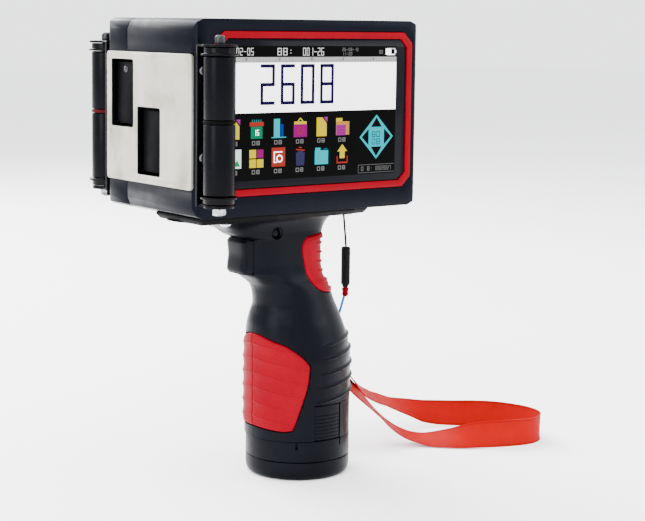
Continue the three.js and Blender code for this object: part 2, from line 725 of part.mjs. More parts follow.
handle = cut(handle, batteryRoom, latchRoom, triggerRoom, handleScrewRoom);
const nearHalf = box(-200, 200, -100, -GAP / 2, -10, 300);
const farHalf = box(-200, 200, GAP / 2, 100, -10, 300);
add('handle_shell_near', common(handle, nearHalf), BLACK, 0.5, 0);
add('handle_shell_far', common(handle, farHalf), BLACK, 0.5, 0);

for (const [name, side, half] of [['grip_pad_near', -1, nearHalf], ['grip_pad_far', 1, farHalf]]) {
  add(name, common(cut(padOuter, padInner), wedge(GRIP_EDGE, side, 10, 46), half), PAD, 0.7, 0);
}
add('thumb_pad', common(cut(thumbOuter, thumbInner), thumbPrism), PAD, 0.7, 0);

add(
  'trigger',
  join(
    prism(
      'xy',
      [
        [TRIGGER.x0 + 2, -TRIGGER.half], [TRIGGER.x1, -TRIGGER.half], [TRIGGER.x1, TRIGGER.half],
        [TRIGGER.x0 + 2, TRIGGER.half], [TRIGGER.x0 + 0.5, TRIGGER.half - 1.4],
        [TRIGGER.x0, TRIGGER.half - 3.4], [TRIGGER.x0, 3.4 - TRIGGER.half],
        [TRIGGER.x0 + 0.5, 1.4 - TRIGGER.half],
      ], TRIGGER.z0, TRIGGER.z1,
    ),
    box(TRIGGER.x1 - 1, -21, -5, 5, 112, 123),
  ),
  0x17191e, 0.5, 0,
);
add('trigger_switch', box(-16.4, -7, -5.5, 5.5, 111, 124), DARK, 0.5, 0);
add(
  'handle_screw',
  turned(
    [[0, -12], [1.6, -12], [2.2, -11.6], [2.2, -9.8], [1.3, -9.8], [1.3, 7], [0, 7]],
    'y', [-24, 0, 130.5], 16,
  ),
  CHROME, 0.25, 1,
);

// ------------------------------------------------------------------- battery
add(
  'battery_base_cap',
  turned([
    [0, 0], [24.6, 0], [26.4, 0.6], [27.4, 2], [BATTERY.r, 4.6], [BATTERY.r, BATTERY.seam - 0.2],
    [0, BATTERY.seam - 0.2],
  ], 'z', [0, 0, 0], 32),
  BLACK, 0.5, 0,
);
add(
  'battery_shell',
  turned([
    [20.5, BATTERY.seam + 0.2], [BATTERY.r, BATTERY.seam + 0.2], [BATTERY.r, BATTERY.top],
    [BATTERY.stem, BATTERY.top], [BATTERY.stem, BATTERY.stemTop], [0, BATTERY.stemTop],
    [0, BATTERY.stemTop - 1.3], [20.5, BATTERY.stemTop - 1.3],
  ], 'z', [0, 0, 0], 32),
  BLACK, 0.5, 0,
);
const CELL_RING = 10.9;
for (let i = 0; i < 3; i += 1) {
  const a = (i / 3) * 2 * Math.PI;
  add(
    'battery_cell_' + (i + 1),
    turned([
      [0, 11.2], [9.2, 11.2], [9.2, 75.2], [3, 75.2], [3, 76.6], [0, 76.6],
    ], 'z', [CELL_RING * Math.cos(a), CELL_RING * Math.sin(a), 0], 24),
    0x2d6fb5, 0.35, 0.1,
  );
}
for (const [name, side] of [['latch_near', -1], ['latch_far', 1]]) {
  const ys = side < 0 ? [-40, -LATCH.y0] : [LATCH.y0, 40];
  add(
    name,
    common(
      box(-LATCH.half, LATCH.half, ys[0], ys[1], LATCH.z0, LATCH.z1),
      rod('z', [0, 0, 0], LATCH.y1, LATCH.z0 - 1, LATCH.z1 + 1, 48),
    ),
    BLACK, 0.45, 0,
  );
}
add('contact_block', rod('z', [0, 0, 0], 15, 79.4, 83.4, 28), 0x3a3226, 0.5, 0);

export default group;
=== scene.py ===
"""Looks of the handheld date coder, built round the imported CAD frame.  Metres, +Z up."""

import math

import bmesh
import bpy
import numpy as np
from mathutils import Matrix, Vector


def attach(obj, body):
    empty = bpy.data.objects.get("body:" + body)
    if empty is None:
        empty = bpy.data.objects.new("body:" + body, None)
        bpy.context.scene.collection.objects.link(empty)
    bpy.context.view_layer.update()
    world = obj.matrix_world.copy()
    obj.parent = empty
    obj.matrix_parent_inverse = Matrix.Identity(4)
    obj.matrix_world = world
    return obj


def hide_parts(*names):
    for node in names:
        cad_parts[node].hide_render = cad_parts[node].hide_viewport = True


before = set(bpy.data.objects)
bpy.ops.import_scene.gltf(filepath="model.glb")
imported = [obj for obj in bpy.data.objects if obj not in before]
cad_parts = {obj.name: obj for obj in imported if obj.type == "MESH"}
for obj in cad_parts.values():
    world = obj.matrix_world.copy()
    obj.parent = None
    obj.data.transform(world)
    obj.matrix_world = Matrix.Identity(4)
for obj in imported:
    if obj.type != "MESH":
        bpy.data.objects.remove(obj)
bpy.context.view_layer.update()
MM = 0.001
ORIGIN = (0, 0, 0)

# ------------------------------------------------------------------ camera
CAM_AT = Vector((-504.0, -683.4, 238.6)) * MM
CAM_YAW = math.radians(37.224)
CAM_PITCH = math.radians(6.584)
CAM_ROLL = math.radians(-0.721)
CAM_LENS = 90.08
CAM_SHIFT = -0.08


def make_camera():
    data = bpy.data.cameras.new("camera")
    data.lens = CAM_LENS
    data.sensor_width = 36.0
    data.shift_y = CAM_SHIFT
    data.clip_start = 0.05
    data.clip_end = 50.0
    cam = bpy.data.objects.new("camera", data)
    bpy.context.scene.collection.objects.link(cam)
    forward = Vector((
        math.sin(CAM_YAW) * math.cos(CAM_PITCH),
        math.cos(CAM_YAW) * math.cos(CAM_PITCH),
        -math.sin(CAM_PITCH),
    ))
    right = Vector((math.cos(CAM_YAW), -math.sin(CAM_YAW), 0.0))
    up = right.cross(forward)
    c, s = math.cos(CAM_ROLL), math.sin(CAM_ROLL)
    right, up = c * right - s * up, c * up + s * right
    turn = Matrix((right, up, -forward)).transposed().to_4x4()
    cam.matrix_world = Matrix.Translation(CAM_AT) @ turn
    bpy.context.scene.camera = cam


make_camera()

# --------------------------------------------------------------- materials
# Places of the colour sockets on a mix node
MIX_A, MIX_B, MIX_OUT = 6, 7, 2


class Nodes:
    """Shorthand for building one node material."""

    def __init__(self, name):
        self.mat = bpy.data.materials.new(name)
        self.mat.use_nodes = True
        self.tree = self.mat.node_tree
        self.tree.nodes.clear()
        self.out = self.add("ShaderNodeOutputMaterial")
        self.bsdf = self.add("ShaderNodeBsdfPrincipled")
        self.link(self.bsdf, "BSDF", self.out, "Surface")
        self.coord = self.add("ShaderNodeTexCoord")

    def add(self, kind, **settings):
        node = self.tree.nodes.new(kind)
        for key, value in settings.items():
            setattr(node, key, value)
        return node

    def link(self, a, socket_a, b, socket_b):
        self.tree.links.new(a.outputs[socket_a], b.inputs[socket_b])

    def set(self, **values):
        for key, value in values.items():
            self.bsdf.inputs[key.replace("_", " ")].default_value = value

    def mapped(self, scale):
        node = self.add("ShaderNodeMapping")
        node.inputs["Scale"].default_value = scale
        self.link(self.coord, "Object", node, "Vector")
        return node

    def noise(self, scale, detail=3.0, rough=0.55, stretch=(1, 1, 1)):
        node = self.add("ShaderNodeTexNoise")
        node.inputs["Scale"].default_value = scale
        node.inputs["Detail"].default_value = detail
        node.inputs["Roughness"].default_value = rough
        self.link(self.mapped(stretch), "Vector", node, "Vector")
        return node

    def ramp(self, source, socket, stops):
        node = self.add("ShaderNodeValToRGB")
        ramp = node.color_ramp
        while len(ramp.elements) < len(stops):
            ramp.elements.new(0.5)
        for element, (place, colour) in zip(ramp.elements, stops):
            element.position = place
            element.color = (*colour, 1.0)
        self.link(source, socket, node, "Fac")
        return node

    def spread(self, source, socket, low, high):
        node = self.add("ShaderNodeMapRange")
        node.inputs["From Min"].default_value = 0.3
        node.inputs["From Max"].default_value = 0.7
        node.inputs["To Min"].default_value = low
        node.inputs["To Max"].default_value = high
        self.link(source, socket, node, "Value")
        return node

    def bump(self, source, socket, strength, distance):
        node = self.add("ShaderNodeBump")
        node.inputs["Strength"].default_value = strength
        node.inputs["Distance"].default_value = distance
        self.link(source, socket, node, "Height")
        self.link(node, "Normal", self.bsdf, "Normal")

    def darken(self, first, second, amount, socket="Color"):
        """Multiply one colour by another.  A second of None is left to be set by hand."""
        node = self.add("ShaderNodeMix", data_type="RGBA", blend_type="MULTIPLY")
        node.inputs["Factor"].default_value = amount
        self.link(first, socket, node, MIX_A)
        if second:
            self.link(second, "Color", node, MIX_B)
        return node


def scaled(colour, k):
    return tuple(min(1.0, c * k) for c in colour)


def surface(name, colour, rough, metallic=0.0, grain=2200.0, bump=0.12, vary=0.14,
            cloud=60.0, rough_vary=0.06, stretch=(1, 1, 1), depth=0.00006, shine=0.5, tint=None):
    """A moulded, turned or painted surface: cloudy tone, uneven gloss, fine grain."""
    n = Nodes(name)
    tone = n.noise(cloud, 4.0)
    ramp = n.ramp(tone, "Fac", [(0.3, scaled(colour, 1 - vary)), (0.7, scaled(colour, 1 + vary))])
    n.link(ramp, "Color", n.bsdf, "Base Color")
    gloss = n.noise(cloud * 3.1, 3.0, stretch=stretch)
    level = n.spread(gloss, "Fac", rough - rough_vary, rough + rough_vary)
    n.link(level, "Result", n.bsdf, "Roughness")
    fine = n.noise(grain, 2.0, stretch=stretch)
    n.bump(fine, "Fac", bump, depth)
    n.set(Metallic=metallic, Specular_IOR_Level=shine, Specular_Tint=(*(tint or (1, 1, 1)), 1))
    return n.mat


BLACK = (0.0009, 0.001, 0.0027)
MATS = {
    "housing": surface("housing", BLACK, 0.34, grain=1500, bump=0.08, vary=0.2,
                       shine=0.05, tint=(0.72, 0.8, 1.0)),
    "grip": surface("grip_plastic", (0.0009, 0.001, 0.0021), 0.33, grain=1300, bump=0.12, vary=0.2,
                    shine=0.06, tint=(0.85, 0.9, 1.0)),
    "trim": surface("trim_red", (0.14, 0.0001, 0.0045), 0.34, grain=2600, bump=0.08, vary=0.07,
                    shine=0.03, tint=(1.0, 0.4, 0.45)),
    # A darker, duller copy of trim_red: painted shade for the band of the far roller, which sits behind the
    # head.
    "painted_shade_red": surface("painted_shade_red", (0.04, 0.0002, 0.0025), 0.5, grain=2600, bump=0.08,
                         shine=0.05),
    "rubber": surface("rubber_red", (0.16, 0.0001, 0.006), 0.48, grain=1100, bump=0.25, vary=0.09,
                      cloud=45.0, shine=0.03, tint=(1.0, 0.4, 0.4)),
    "roller": surface("roller_black", (0.0009, 0.0009, 0.0018), 0.24, grain=2500, bump=0.05,
                      vary=0.2, shine=0.045),
    "flange": surface("flange_black", (0.001, 0.001, 0.0016), 0.22, grain=1600, bump=0.08, vary=0.2,
                      shine=0.055),
    "nut_steel": surface("nut_steel", (0.34, 0.34, 0.35), 0.16, metallic=1.0, vary=0.96, cloud=330.0,
                         grain=2600, bump=0.1),
    "axle": surface("axle_dark", (0.004, 0.004, 0.005), 0.28, metallic=0.3, grain=2500, bump=0.06),
    "screw_dark": surface("screw_dark", (0.05, 0.05, 0.055), 0.25, metallic=0.8, grain=2500, bump=0.05),
    "chrome": surface("plated_steel", (0.55, 0.55, 0.57), 0.18, metallic=1.0, vary=0.05,
                      grain=3000, bump=0.06),
    "inner": surface("inner_plastic", (0.0009, 0.0009, 0.0014), 0.5, grain=1500, bump=0.15,
                     shine=0.025),
    "board": surface("solder_mask", (0.012, 0.09, 0.04), 0.4, grain=900, bump=0.4, vary=0.3),
    "module": surface("display_back", (0.05, 0.055, 0.06), 0.45, grain=1200, bump=0.2),
    "cell": surface("cell_wrap", (0.02, 0.12, 0.4), 0.3, grain=700, bump=0.12, vary=0.1),
    "band_dark": surface("band_dark", (0.0005, 0.0005, 0.0006), 0.6, grain=1800, bump=0.1,
                         shine=0.03),
    "shadowed": surface("shadowed", (0.001, 0.001, 0.0016), 0.62, grain=1500, bump=0.15,
                        shine=0.04),
    "cord_black": surface("cord_black", (0.003, 0.003, 0.0035), 0.8, grain=1500, bump=0.5,
                          stretch=(1, 1, 0.6), depth=0.00012, shine=0.1),
    "cord_blue": surface("cord_blue", (0.001, 0.11, 0.38), 0.5, shine=0.1, grain=1500, bump=0.4,
                         stretch=(1, 1, 0.6), depth=0.00012),
}


def steel_face():
    """Satin stainless sheet: fine vertical brushing, faint cloudy stains."""
    n = Nodes("face_steel")
    cloud = n.noise(34.0, 5.0, 0.6)
    tint = n.ramp(cloud, "Fac", [
        (0.3, (0.22, 0.205, 0.155)), (0.48, (0.36, 0.345, 0.29)), (0.7, (0.42, 0.41, 0.365)),
    ])
    n.link(tint, "Color", n.bsdf, "Base Color")
    lines = n.noise(1500.0, 3.0, stretch=(1.0, 1.0, 0.03))
    level = n.spread(lines, "Fac", 0.42, 0.56)
    n.link(level, "Result", n.bsdf, "Roughness")
    n.bump(lines, "Fac", 0.15, 0.00004)
    n.set(Metallic=0.55)
    return n.mat


def woven_ribbon():
    """Satin ribbon: fine cross ribs and a slightly darker line inside each selvedge."""
    n = Nodes("ribbon_weave")
    uv = n.add("ShaderNodeUVMap", uv_map="strip")
    split = n.add("ShaderNodeSeparateXYZ")
    n.link(uv, "UV", split, "Vector")
    edge = n.add("ShaderNodeMath", operation="SUBTRACT")
    edge.inputs[1].default_value = 0.5
    n.link(split, "Y", edge, 0)
    far = n.add("ShaderNodeMath", operation="ABSOLUTE")
    n.link(edge, "Value", far, 0)
    tint = n.ramp(far, "Value", [
        (0.0, (0.29, 0.0008, 0.0012)), (0.4, (0.27, 0.0008, 0.0012)), (0.44, (0.2, 0.0005, 0.0006)),
        (0.5, (0.3, 0.001, 0.0014)),
    ])
    cloud = n.noise(140.0, 3.0)
    dark = n.ramp(cloud, "Fac", [(0.3, (0.72, 0.72, 0.72)), (0.7, (1.0, 1.0, 1.0))])
    mix = n.darken(tint, dark, 0.35)
    n.link(mix, MIX_OUT, n.bsdf, "Base Color")
    ribs = n.add("ShaderNodeTexWave", wave_type="BANDS", bands_direction="X")
    ribs.inputs["Scale"].default_value = 120.0
    ribs.inputs["Distortion"].default_value = 0.3
    n.link(uv, "UV", ribs, "Vector")
    n.bump(ribs, "Fac", 0.4, 0.00015)
    n.set(Roughness=0.5, Specular_IOR_Level=0.03, Specular_Tint=(1.0, 0.5, 0.45, 1.0))
    return n.mat


# Pitch of the panel's pixels and the gap between them, in metres
PIXEL = 0.00027
PIXEL_GAP = 0.00002


def display_glow():
    """The lit panel: colours painted per corner, broken up by the pixel grid."""
    n = Nodes("display_image")
    paint = n.add("ShaderNodeAttribute", attribute_name="pixel_colour")
    grid = n.add("ShaderNodeTexBrick")
    grid.offset = 0.0
    sizes = {"Scale": 1.0, "Brick Width": PIXEL, "Row Height": PIXEL, "Mortar Size": PIXEL_GAP}
    for socket, value in sizes.items():
        grid.inputs[socket].default_value = value
    for socket, level in (("Color1", 1.0), ("Color2", 0.97), ("Mortar", 0.8)):
        grid.inputs[socket].default_value = (level, level, level, 1.0)
    flat = n.add("ShaderNodeMapping")
    flat.inputs["Rotation"].default_value = (math.pi / 2, 0.0, 0.0)
    n.link(n.coord, "Object", flat, "Vector")
    n.link(flat, "Vector", grid, "Vector")
    mix = n.darken(paint, grid, 1.0)
    dim = n.darken(mix, None, 1.0, MIX_OUT)
    dim.inputs[MIX_B].default_value = (0.03, 0.03, 0.03, 1.0)
    n.link(dim, MIX_OUT, n.bsdf, "Base Color")
    n.link(mix, MIX_OUT, n.bsdf, "Emission Color")
    n.set(Roughness=0.12, Emission_Strength=1.0, Specular_IOR_Level=0.03)
    return n.mat


MATS["steel"] = steel_face()
MATS["ribbon"] = woven_ribbon()
MATS["display"] = display_glow()
MATS["glass"] = surface("panel_glass", (0.0012, 0.0014, 0.003), 0.14, grain=400, bump=0.01,
                        vary=0.1, rough_vary=0.02, shine=0.045)

# ------------------------------------------------------------ mesh helpers


def bare_object(name, verts, faces):
    mesh = bpy.data.meshes.new(name)
    mesh.from_pydata([tuple(map(float, v)) for v in verts], [], [tuple(f) for f in faces])
    obj = bpy.data.objects.new(name, mesh)
    bpy.context.scene.collection.objects.link(obj)
    return obj


def dress(obj, mat, stands_for=(), body="printer", sharp=35.0, slot=None):
    """Make a finished piece of a mesh: its material, body and the nodes it stands for.  The slot argument is
    not used.
    """
    obj.data.materials.clear()
    obj.data.materials.append(MATS[mat])
    shade(obj.data, sharp)
    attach(obj, body)
    if stands_for:
        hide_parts(*stands_for)
    return obj


def shade(mesh, angle):
    mesh.shade_smooth()
    mesh.set_sharp_from_angle(angle=math.radians(angle))


def outward(obj):
    """Merge doubled points and turn every face outward."""
    bm = bmesh.new()
    bm.from_mesh(obj.data)
    bmesh.ops.remove_doubles(bm, verts=bm.verts, dist=1e-7)
    bmesh.ops.recalc_face_normals(bm, faces=bm.faces)
    bm.to_mesh(obj.data)
    bm.free()
    return obj


def loose(name, verts, faces):
    """A closed cutter or blank, facing outward, that is not a piece yet."""
    return outward(bare_object(name, verts, faces))


def carve(target, cutter, how="DIFFERENCE"):
    """Cut, join or intersect the target with the cutter, which is used up."""
    mod = target.modifiers.new("carve", "BOOLEAN")
    mod.object = cutter
    mod.operation = how
    mod.solver = "MANIFOLD"
    graph = bpy.context.evaluated_depsgraph_get()
    graph.update()
    mesh = bpy.data.meshes.new_from_object(target.evaluated_get(graph))
    target.modifiers.clear()
    target.data = mesh
    bpy.data.objects.remove(cutter)
    if len(mesh.polygons) == 0:
        raise RuntimeError("nothing left of " + target.name)
    return target


def rings_mesh(rings, closed_ends=True):
    """Vertices and faces of a skin over equal rings of points."""
    n = len(rings[0])
    verts = [p for ring in rings for p in ring]
    faces = []
    for i in range(len(rings) - 1):
        for k in range(n):
            m = (k + 1) % n
            faces.append((i * n + k, i * n + m, (i + 1) * n + m, (i + 1) * n + k))
    if closed_ends:
        faces.append(tuple(range(n))[::-1])
        faces.append(tuple((len(rings) - 1) * n + k for k in range(n)))
    return verts, faces


def turn(profile, axis, centre, steps=72):
    """Vertices and faces of a body of revolution.  profile: (radius, position) in mm.
    A closed profile whose ends touch the axis makes a solid, else it makes a ring."""
    cx, cy, cz = centre
    pole = [i for i, p in enumerate(profile) if p[0] < 1e-6]
    verts, faces = [], []
    index = []
    for i, (r, h) in enumerate(profile):
        row = []
        for k in range(1 if i in pole else steps):
            a = 2 * math.pi * k / steps
            c, s = r * math.cos(a), r * math.sin(a)
            p = {"z": (c, s, h), "x": (h, c, s), "y": (s, h, c)}[axis]
            row.append(len(verts))
            verts.append(((p[0] + cx) * MM, (p[1] + cy) * MM, (p[2] + cz) * MM))
        index.append(row if len(row) > 1 else row * steps)
    count = len(profile)
    last = count - 1 if pole else count
    for i in range(last):
        a, b = index[i], index[(i + 1) % count]
        for k in range(steps):
            m = (k + 1) % steps
            face = []
            for v in (a[k], a[m], b[m], b[k]):
                if v not in face:
                    face.append(v)
            if len(face) > 2:
                faces.append(tuple(face))
    return verts, faces


def turned(name, profile, axis, centre, steps):
    """A closed solid of revolution that is not a piece yet."""
    return loose(name, *turn(profile, axis, centre, steps))


def plug(radius, low, high, axis, centre, steps):
    """A plain round cutter from low to high along its axis."""
    return turned("plug", [(0, low), (radius, low), (radius, high), (0, high)], axis, centre, steps)


def level_ring(points, z):
    """Points in mm at one height, as metres."""
    return [np.array((x, y, z)) * MM for x, y in points]


def rounded(profile, r=0.3, steps=3):
    """The profile with each inner corner off the axis rounded by about r mm."""
    out = []
    count = len(profile)
    for i, p in enumerate(profile):
        a, b = profile[i - 1], profile[(i + 1) % count]
        if p[0] < 1e-6:
            out.append(p)
            continue
        pa, pb = Vector((a[0] - p[0], a[1] - p[1])), Vector((b[0] - p[0], b[1] - p[1]))
        cut = min(r, pa.length * 0.45, pb.length * 0.45)
        if cut < 1e-3:
            out.append(p)
            continue
        start = Vector(p) + pa.normalized() * cut
        end = Vector(p) + pb.normalized() * cut
        for k in range(steps + 1):
            t = k / steps
            q = start * (1 - t) ** 2 + Vector(p) * 2 * t * (1 - t) + end * t ** 2
            out.append((q.x, q.y))
    return out


def lathe(name, profile, axis, centre, mat, stands_for=(), r=0.3, steps=72, **more):
    """A turned piece, its corners rounded by about r mm."""
    return dress(turned(name, rounded(profile, r), axis, centre, steps), mat, stands_for,
                 **{"sharp": 40.0, **more})


def block(x0, x1, y0, y1, z0, z1):
    """A closed box cutter, corners in mm."""
    xs, ys, zs = (x0 * MM, x1 * MM), (y0 * MM, y1 * MM), (z0 * MM, z1 * MM)
    verts = [(x, y, z) for x in xs for y in ys for z in zs]
    faces = [(0, 1, 3, 2), (4, 6, 7, 5), (0, 4, 5, 1), (2, 3, 7, 6), (0, 2, 6, 4), (1, 5, 7, 3)]
    return loose("block", verts, faces)


def prism_faces(n):
    """Both ends and the sides between two rings of n points."""
    ends = [tuple(range(n)), tuple(range(n, 2 * n))[::-1]]
    return ends + [(k, (k + 1) % n, n + (k + 1) % n, n + k) for k in range(n)]


def pillar(outline, axis, low, high, name="pillar"):
    """A closed prism over an outline in mm; axis is the one it is extruded along."""
    def at(p, h):
        q = {"y": (p[0], h, p[1]), "z": (p[0], p[1], h), "x": (h, p[0], p[1])}[axis]
        return tuple(c * MM for c in q)
    verts = [at(p, low) for p in outline] + [at(p, high) for p in outline]
    return loose(name, verts, prism_faces(len(outline)))


def corner_rect(x0, x1, y0, y1, r, steps=6):
    out = []
    for i, (cx, cy) in enumerate(((x1 - r, y1 - r), (x0 + r, y1 - r), (x0 + r, y0 + r), (x1 - r, y0 + r))):
        for k in range(steps + 1):
            a = (i + k / steps) * math.pi / 2
            out.append((cx + r * math.cos(a), cy + r * math.sin(a)))
    return out


# --------------------------------------------------------------- the strap
# Cord facts in mm.  The routes follow the solids'; string and link end inside the sleeve.
STRING_ROUTE = [(40, 14, 137.9), (41.4, 14, 126), (42.4, 14, 115.4), (42.4, 14, 104)]
STRING_D = 1.2
LINK_ROUTE = [
    (42.4, 14, 101), (42.4, 14, 91.1), (41.4, 14.1, 87), (39.2, 14.4, 80), (37.2, 15.3, 73), (36.6, 16, 68.4),
]
LINK_D = 1.5
# X, Y, Z and how far the strip leans back from upright, in degrees
RIBBON_ROUTE = [
    (36.6, 16.6, 58.2, 90), (37.2, 16.5, 53.5, 90), (39.6, 16.2, 47, 80), (43.9, 15.2, 40.5, 68),
    (47.2, 14.2, 36.6, 66), (52, 12.4, 31.2, 70), (57, 10.4, 25.6, 78), (62.4, 8.4, 19.6, 85),
    (69.5, 6.2, 12.4, 84), (78.7, 3.6, 6.2, 82), (87.6, -1.5, 3.3, 78), (97.9, -13, 4.6, 62),
    (109.4, -24.9, 7.3, 32), (123.8, -33.9, 8.1, 8), (137.6, -37.6, 8.1, 0),
    (146.9, -35.2, 8.1, 0), (153.2, -29, 8.1, 0), (156, -20, 8.1, 0), (155, -9.5, 8.1, 2),
    (149.5, 3.2, 8.1, 6), (140, 13, 8.1, 12), (129.5, 20.6, 8.1, 22), (115.1, 29, 9.4, 42),
    (104.9, 30.5, 12.4, 60), (93.7, 30, 16, 74), (82.9, 29.5, 20.6, 79), (76, 28.8, 23.4, 81),
    (66.5, 26.8, 28.4, 84), (58.2, 24, 35, 86), (50.2, 20.8, 42.4, 88), (44.2, 18.2, 48.6, 90),
    (39.6, 16.4, 54, 90), (37.9, 15.95, 58.2, 90),
]
RIBBON_W = 15.0
RIBBON_T = 0.5
RIBBON_STEPS = 420
RIBBON_ACROSS = 25
# The way that the strip's width points where the strip leans all the way back
RIBBON_LEVEL = np.array([0.4512, 0.8924, 0.0])
FLOOR_GAP = 0.3
SLEEVE_AXIS = (42.4, 14, 0)
CRIMP_AT = Vector((37.2, 16.3, 0)) * MM
CRIMP_TURN = math.atan2(0.89, 0.45)


def spline(points, count):
    """Evenly spaced points on a centripetal Catmull-Rom curve through the route."""
    p = np.array(points, float)
    p = np.vstack([2 * p[0] - p[1], p, 2 * p[-1] - p[-2]])
    dense = []
    for i in range(1, len(p) - 2):
        q = p[i - 1:i + 3]
        t = np.concatenate([[0], np.cumsum(np.sqrt(np.linalg.norm(np.diff(q[:, :3], axis=0), axis=1)))])
        for s in np.linspace(t[1], t[2], 40, endpoint=False):
            a = [((t[j + 1] - s) * q[j] + (s - t[j]) * q[j + 1]) / (t[j + 1] - t[j]) for j in range(3)]
            b = [((t[j + 2] - s) * a[j] + (s - t[j]) * a[j + 1]) / (t[j + 2] - t[j]) for j in range(2)]
            dense.append(((t[2] - s) * b[0] + (s - t[1]) * b[1]) / (t[2] - t[1]))
    dense.append(p[-2])
    dense = np.array(dense)
    walk = np.concatenate([[0], np.cumsum(np.linalg.norm(np.diff(dense[:, :3], axis=0), axis=1))])
    at = np.linspace(0, walk[-1], count)
    return np.stack([np.interp(at, walk, dense[:, k]) for k in range(dense.shape[1])], 1), walk[-1]


def unit(v):
    return v / np.maximum(np.linalg.norm(v, axis=-1, keepdims=True), 1e-12)


def twisted_cord(name, route, diameter, mat, count, strands=3, lay=5.0):
    """A laid cord: strands bulge round a round core and wind along it."""
    pts, length = spline(route, count)
    tangent = unit(np.gradient(pts, axis=0))
    side = unit(np.cross(tangent, (0.3, 0.9, 0.2)))
    up = np.cross(tangent, side)
    sides = 24
    rings = []
    for i, p in enumerate(pts):
        twist = 2 * math.pi * (length * i / (count - 1)) / lay
        ring = []
        for k in range(sides):
            a = 2 * math.pi * k / sides
            r = diameter / 2 * (0.86 + 0.14 * abs(math.cos(strands * (a - twist) / 2)))
            ring.append((p + side[i] * r * math.cos(a) + up[i] * r * math.sin(a)) * MM)
        rings.append(ring)
    verts, faces = rings_mesh(rings)
    obj = dress(bare_object(name, verts, faces), mat, (name.replace("_laid", ""),), sharp=60.0)
    return obj, [tuple(p * MM) for p in pts[::max(1, count // 24)]] + [tuple(pts[-1] * MM)], length


def ribbon_piece():
    """A woven strip with turned selvedges, standing on its edge on the floor."""
    count = RIBBON_STEPS
    stations, length = spline(RIBBON_ROUTE, count)
    pts, lean = stations[:, :3], np.radians(stations[:, 3])
    d = unit(np.gradient(pts, axis=0))
    d[0], d[-1] = (0, 0, -1), (0, 0, 1)
    t = np.linspace(0, 1, count)
    end = np.clip(np.minimum(t, 1 - t) / 0.16, 0, 1)
    w = np.sin(lean)[:, None] * RIBBON_LEVEL + np.cos(lean)[:, None] * np.array([0.0, 0.0, 1.0])
    w = unit(w - d * (w * d).sum(1, keepdims=True))
    n = unit(np.cross(d, w))
    across = np.linspace(-1, 1, RIBBON_ACROSS)
    rings = []
    for i in range(count):
        wave = 0.15 * math.sin(t[i] * 41.0) * end[i]
        row = []
        for a in across:
            bow = 0.2 * (a * a - 0.4) * end[i] + wave * a
            thick = RIBBON_T / 2 * (1.25 if abs(a) > 0.9 else 1.0)
            base = pts[i] + w[i] * (a * RIBBON_W / 2)
            row.append((base + n[i] * (bow + thick), base + n[i] * (bow - thick)))
        ring = [p[0] for p in row] + [p[1] for p in row[::-1]]
        rings.append([np.array([x, y, max(z, FLOOR_GAP)]) * MM for x, y, z in ring])
    verts, faces = rings_mesh(rings)
    blank = bare_object("strap_ribbon_woven", verts, faces)
    obj = dress(blank, "ribbon", ("strap_ribbon",), sharp=50.0)
    size = len(rings[0])
    uv = obj.data.uv_layers.new(name="strip")
    for loop in obj.data.loops:
        i, j = divmod(loop.vertex_index, size)
        j = min(j, size - 1 - j)
        uv.data[loop.index].uv = (i / (count - 1) * length / RIBBON_W, j / (RIBBON_ACROSS - 1))
    return obj, [tuple(p * MM) for p in pts[::14]] + [tuple(pts[-1] * MM)], length


def strap():
    string, string_path, string_len = twisted_cord(
        "strap_string_laid", STRING_ROUTE, STRING_D, "cord_black", 60)
    link, link_path, link_len = twisted_cord(
        "strap_link_laid", LINK_ROUTE, LINK_D, "cord_blue", 70, lay=4.0)
    ribbon, ribbon_path, ribbon_len = ribbon_piece()
    ridges = [(2.55, 94.8)]
    for i in range(24):
        z = 95.4 + i * 0.8
        ridges += [(2.6, z), (2.45, z + 0.25), (2.45, z + 0.45)]
    sleeve = lathe(
        "strap_sleeve_moulded",
        [(0, 93.0), (1.55, 93.0), (1.75, 93.8)] + ridges + [(2.55, 114.6), (2.2, 115.4), (0, 115.4)],
        "z", SLEEVE_AXIS, "cord_black", ("strap_sleeve",), r=0.15, steps=40)
    collar = lathe(
        "strap_knot",
        [(0, 87.6), (0.9, 87.6), (1.7, 88.4), (1.9, 89.4), (1.5, 90.3), (1.9, 91.0), (2.0, 91.9),
         (1.5, 92.8), (0, 92.8)],
        "z", SLEEVE_AXIS, "trim", steps=36)
    crimp = pillar(corner_rect(-7.8, 7.8, -1.8, 1.8, 0.9, 4), "z", 59.6, 68.0, "strap_crimp_folded")
    bevel = crimp.modifiers.new("edge", "BEVEL")
    bevel.width = 0.4 * MM
    bevel.segments = 2
    for z in (62.0, 65.6):
        for y in (-2.2, 2.2):
            carve(crimp, block(-5.5, 5.5, y - 0.7, y + 0.7, z - 0.5, z + 0.5))
    crimp.data.transform(Matrix.Translation(CRIMP_AT) @ Matrix.Rotation(CRIMP_TURN, 4, "Z"))
    dress(crimp, "steel", ("strap_crimp",), sharp=30.0)


strap()

# -------------------------------------------------------------- the handle
# Height, front X, rear X, half width, roundness exponent, in mm
HANDLE = np.array([
    (21.3, -28.8, 27.8, 27.8, 2), (45, -28.8, 27.8, 27.8, 2), (62, -28.8, 27.8, 27.8, 2),
    (68.6, -29, 27.2, 26.6, 2), (75, -29.4, 26.2, 25, 2), (81, -29.1, 23.9, 23.4, 2),
    (86, -28.1, 21.9, 21.5, 2), (91.5, -26.4, 19.4, 19.8, 2), (98.8, -27.3, 16.4, 17.8, 2.1),
    (102.4, -29, 15, 16.6, 2.3), (105.4, -32.6, 12.2, 15, 2.6), (109.2, -37.5, 10.8, 14, 3),
    (114, -37.5, 10.3, 13.5, 3), (127, -37.8, 10.2, 13.5, 3), (128.3, -41.6, 10.5, 13.5, 3),
    (130.4, -46.4, 11.2, 13.5, 3), (133.8, -52, 12.8, 14.2, 3), (136.5, -62, 15.3, 15.6, 3),
    (138.9, -79, 21, 18, 3),
], float)
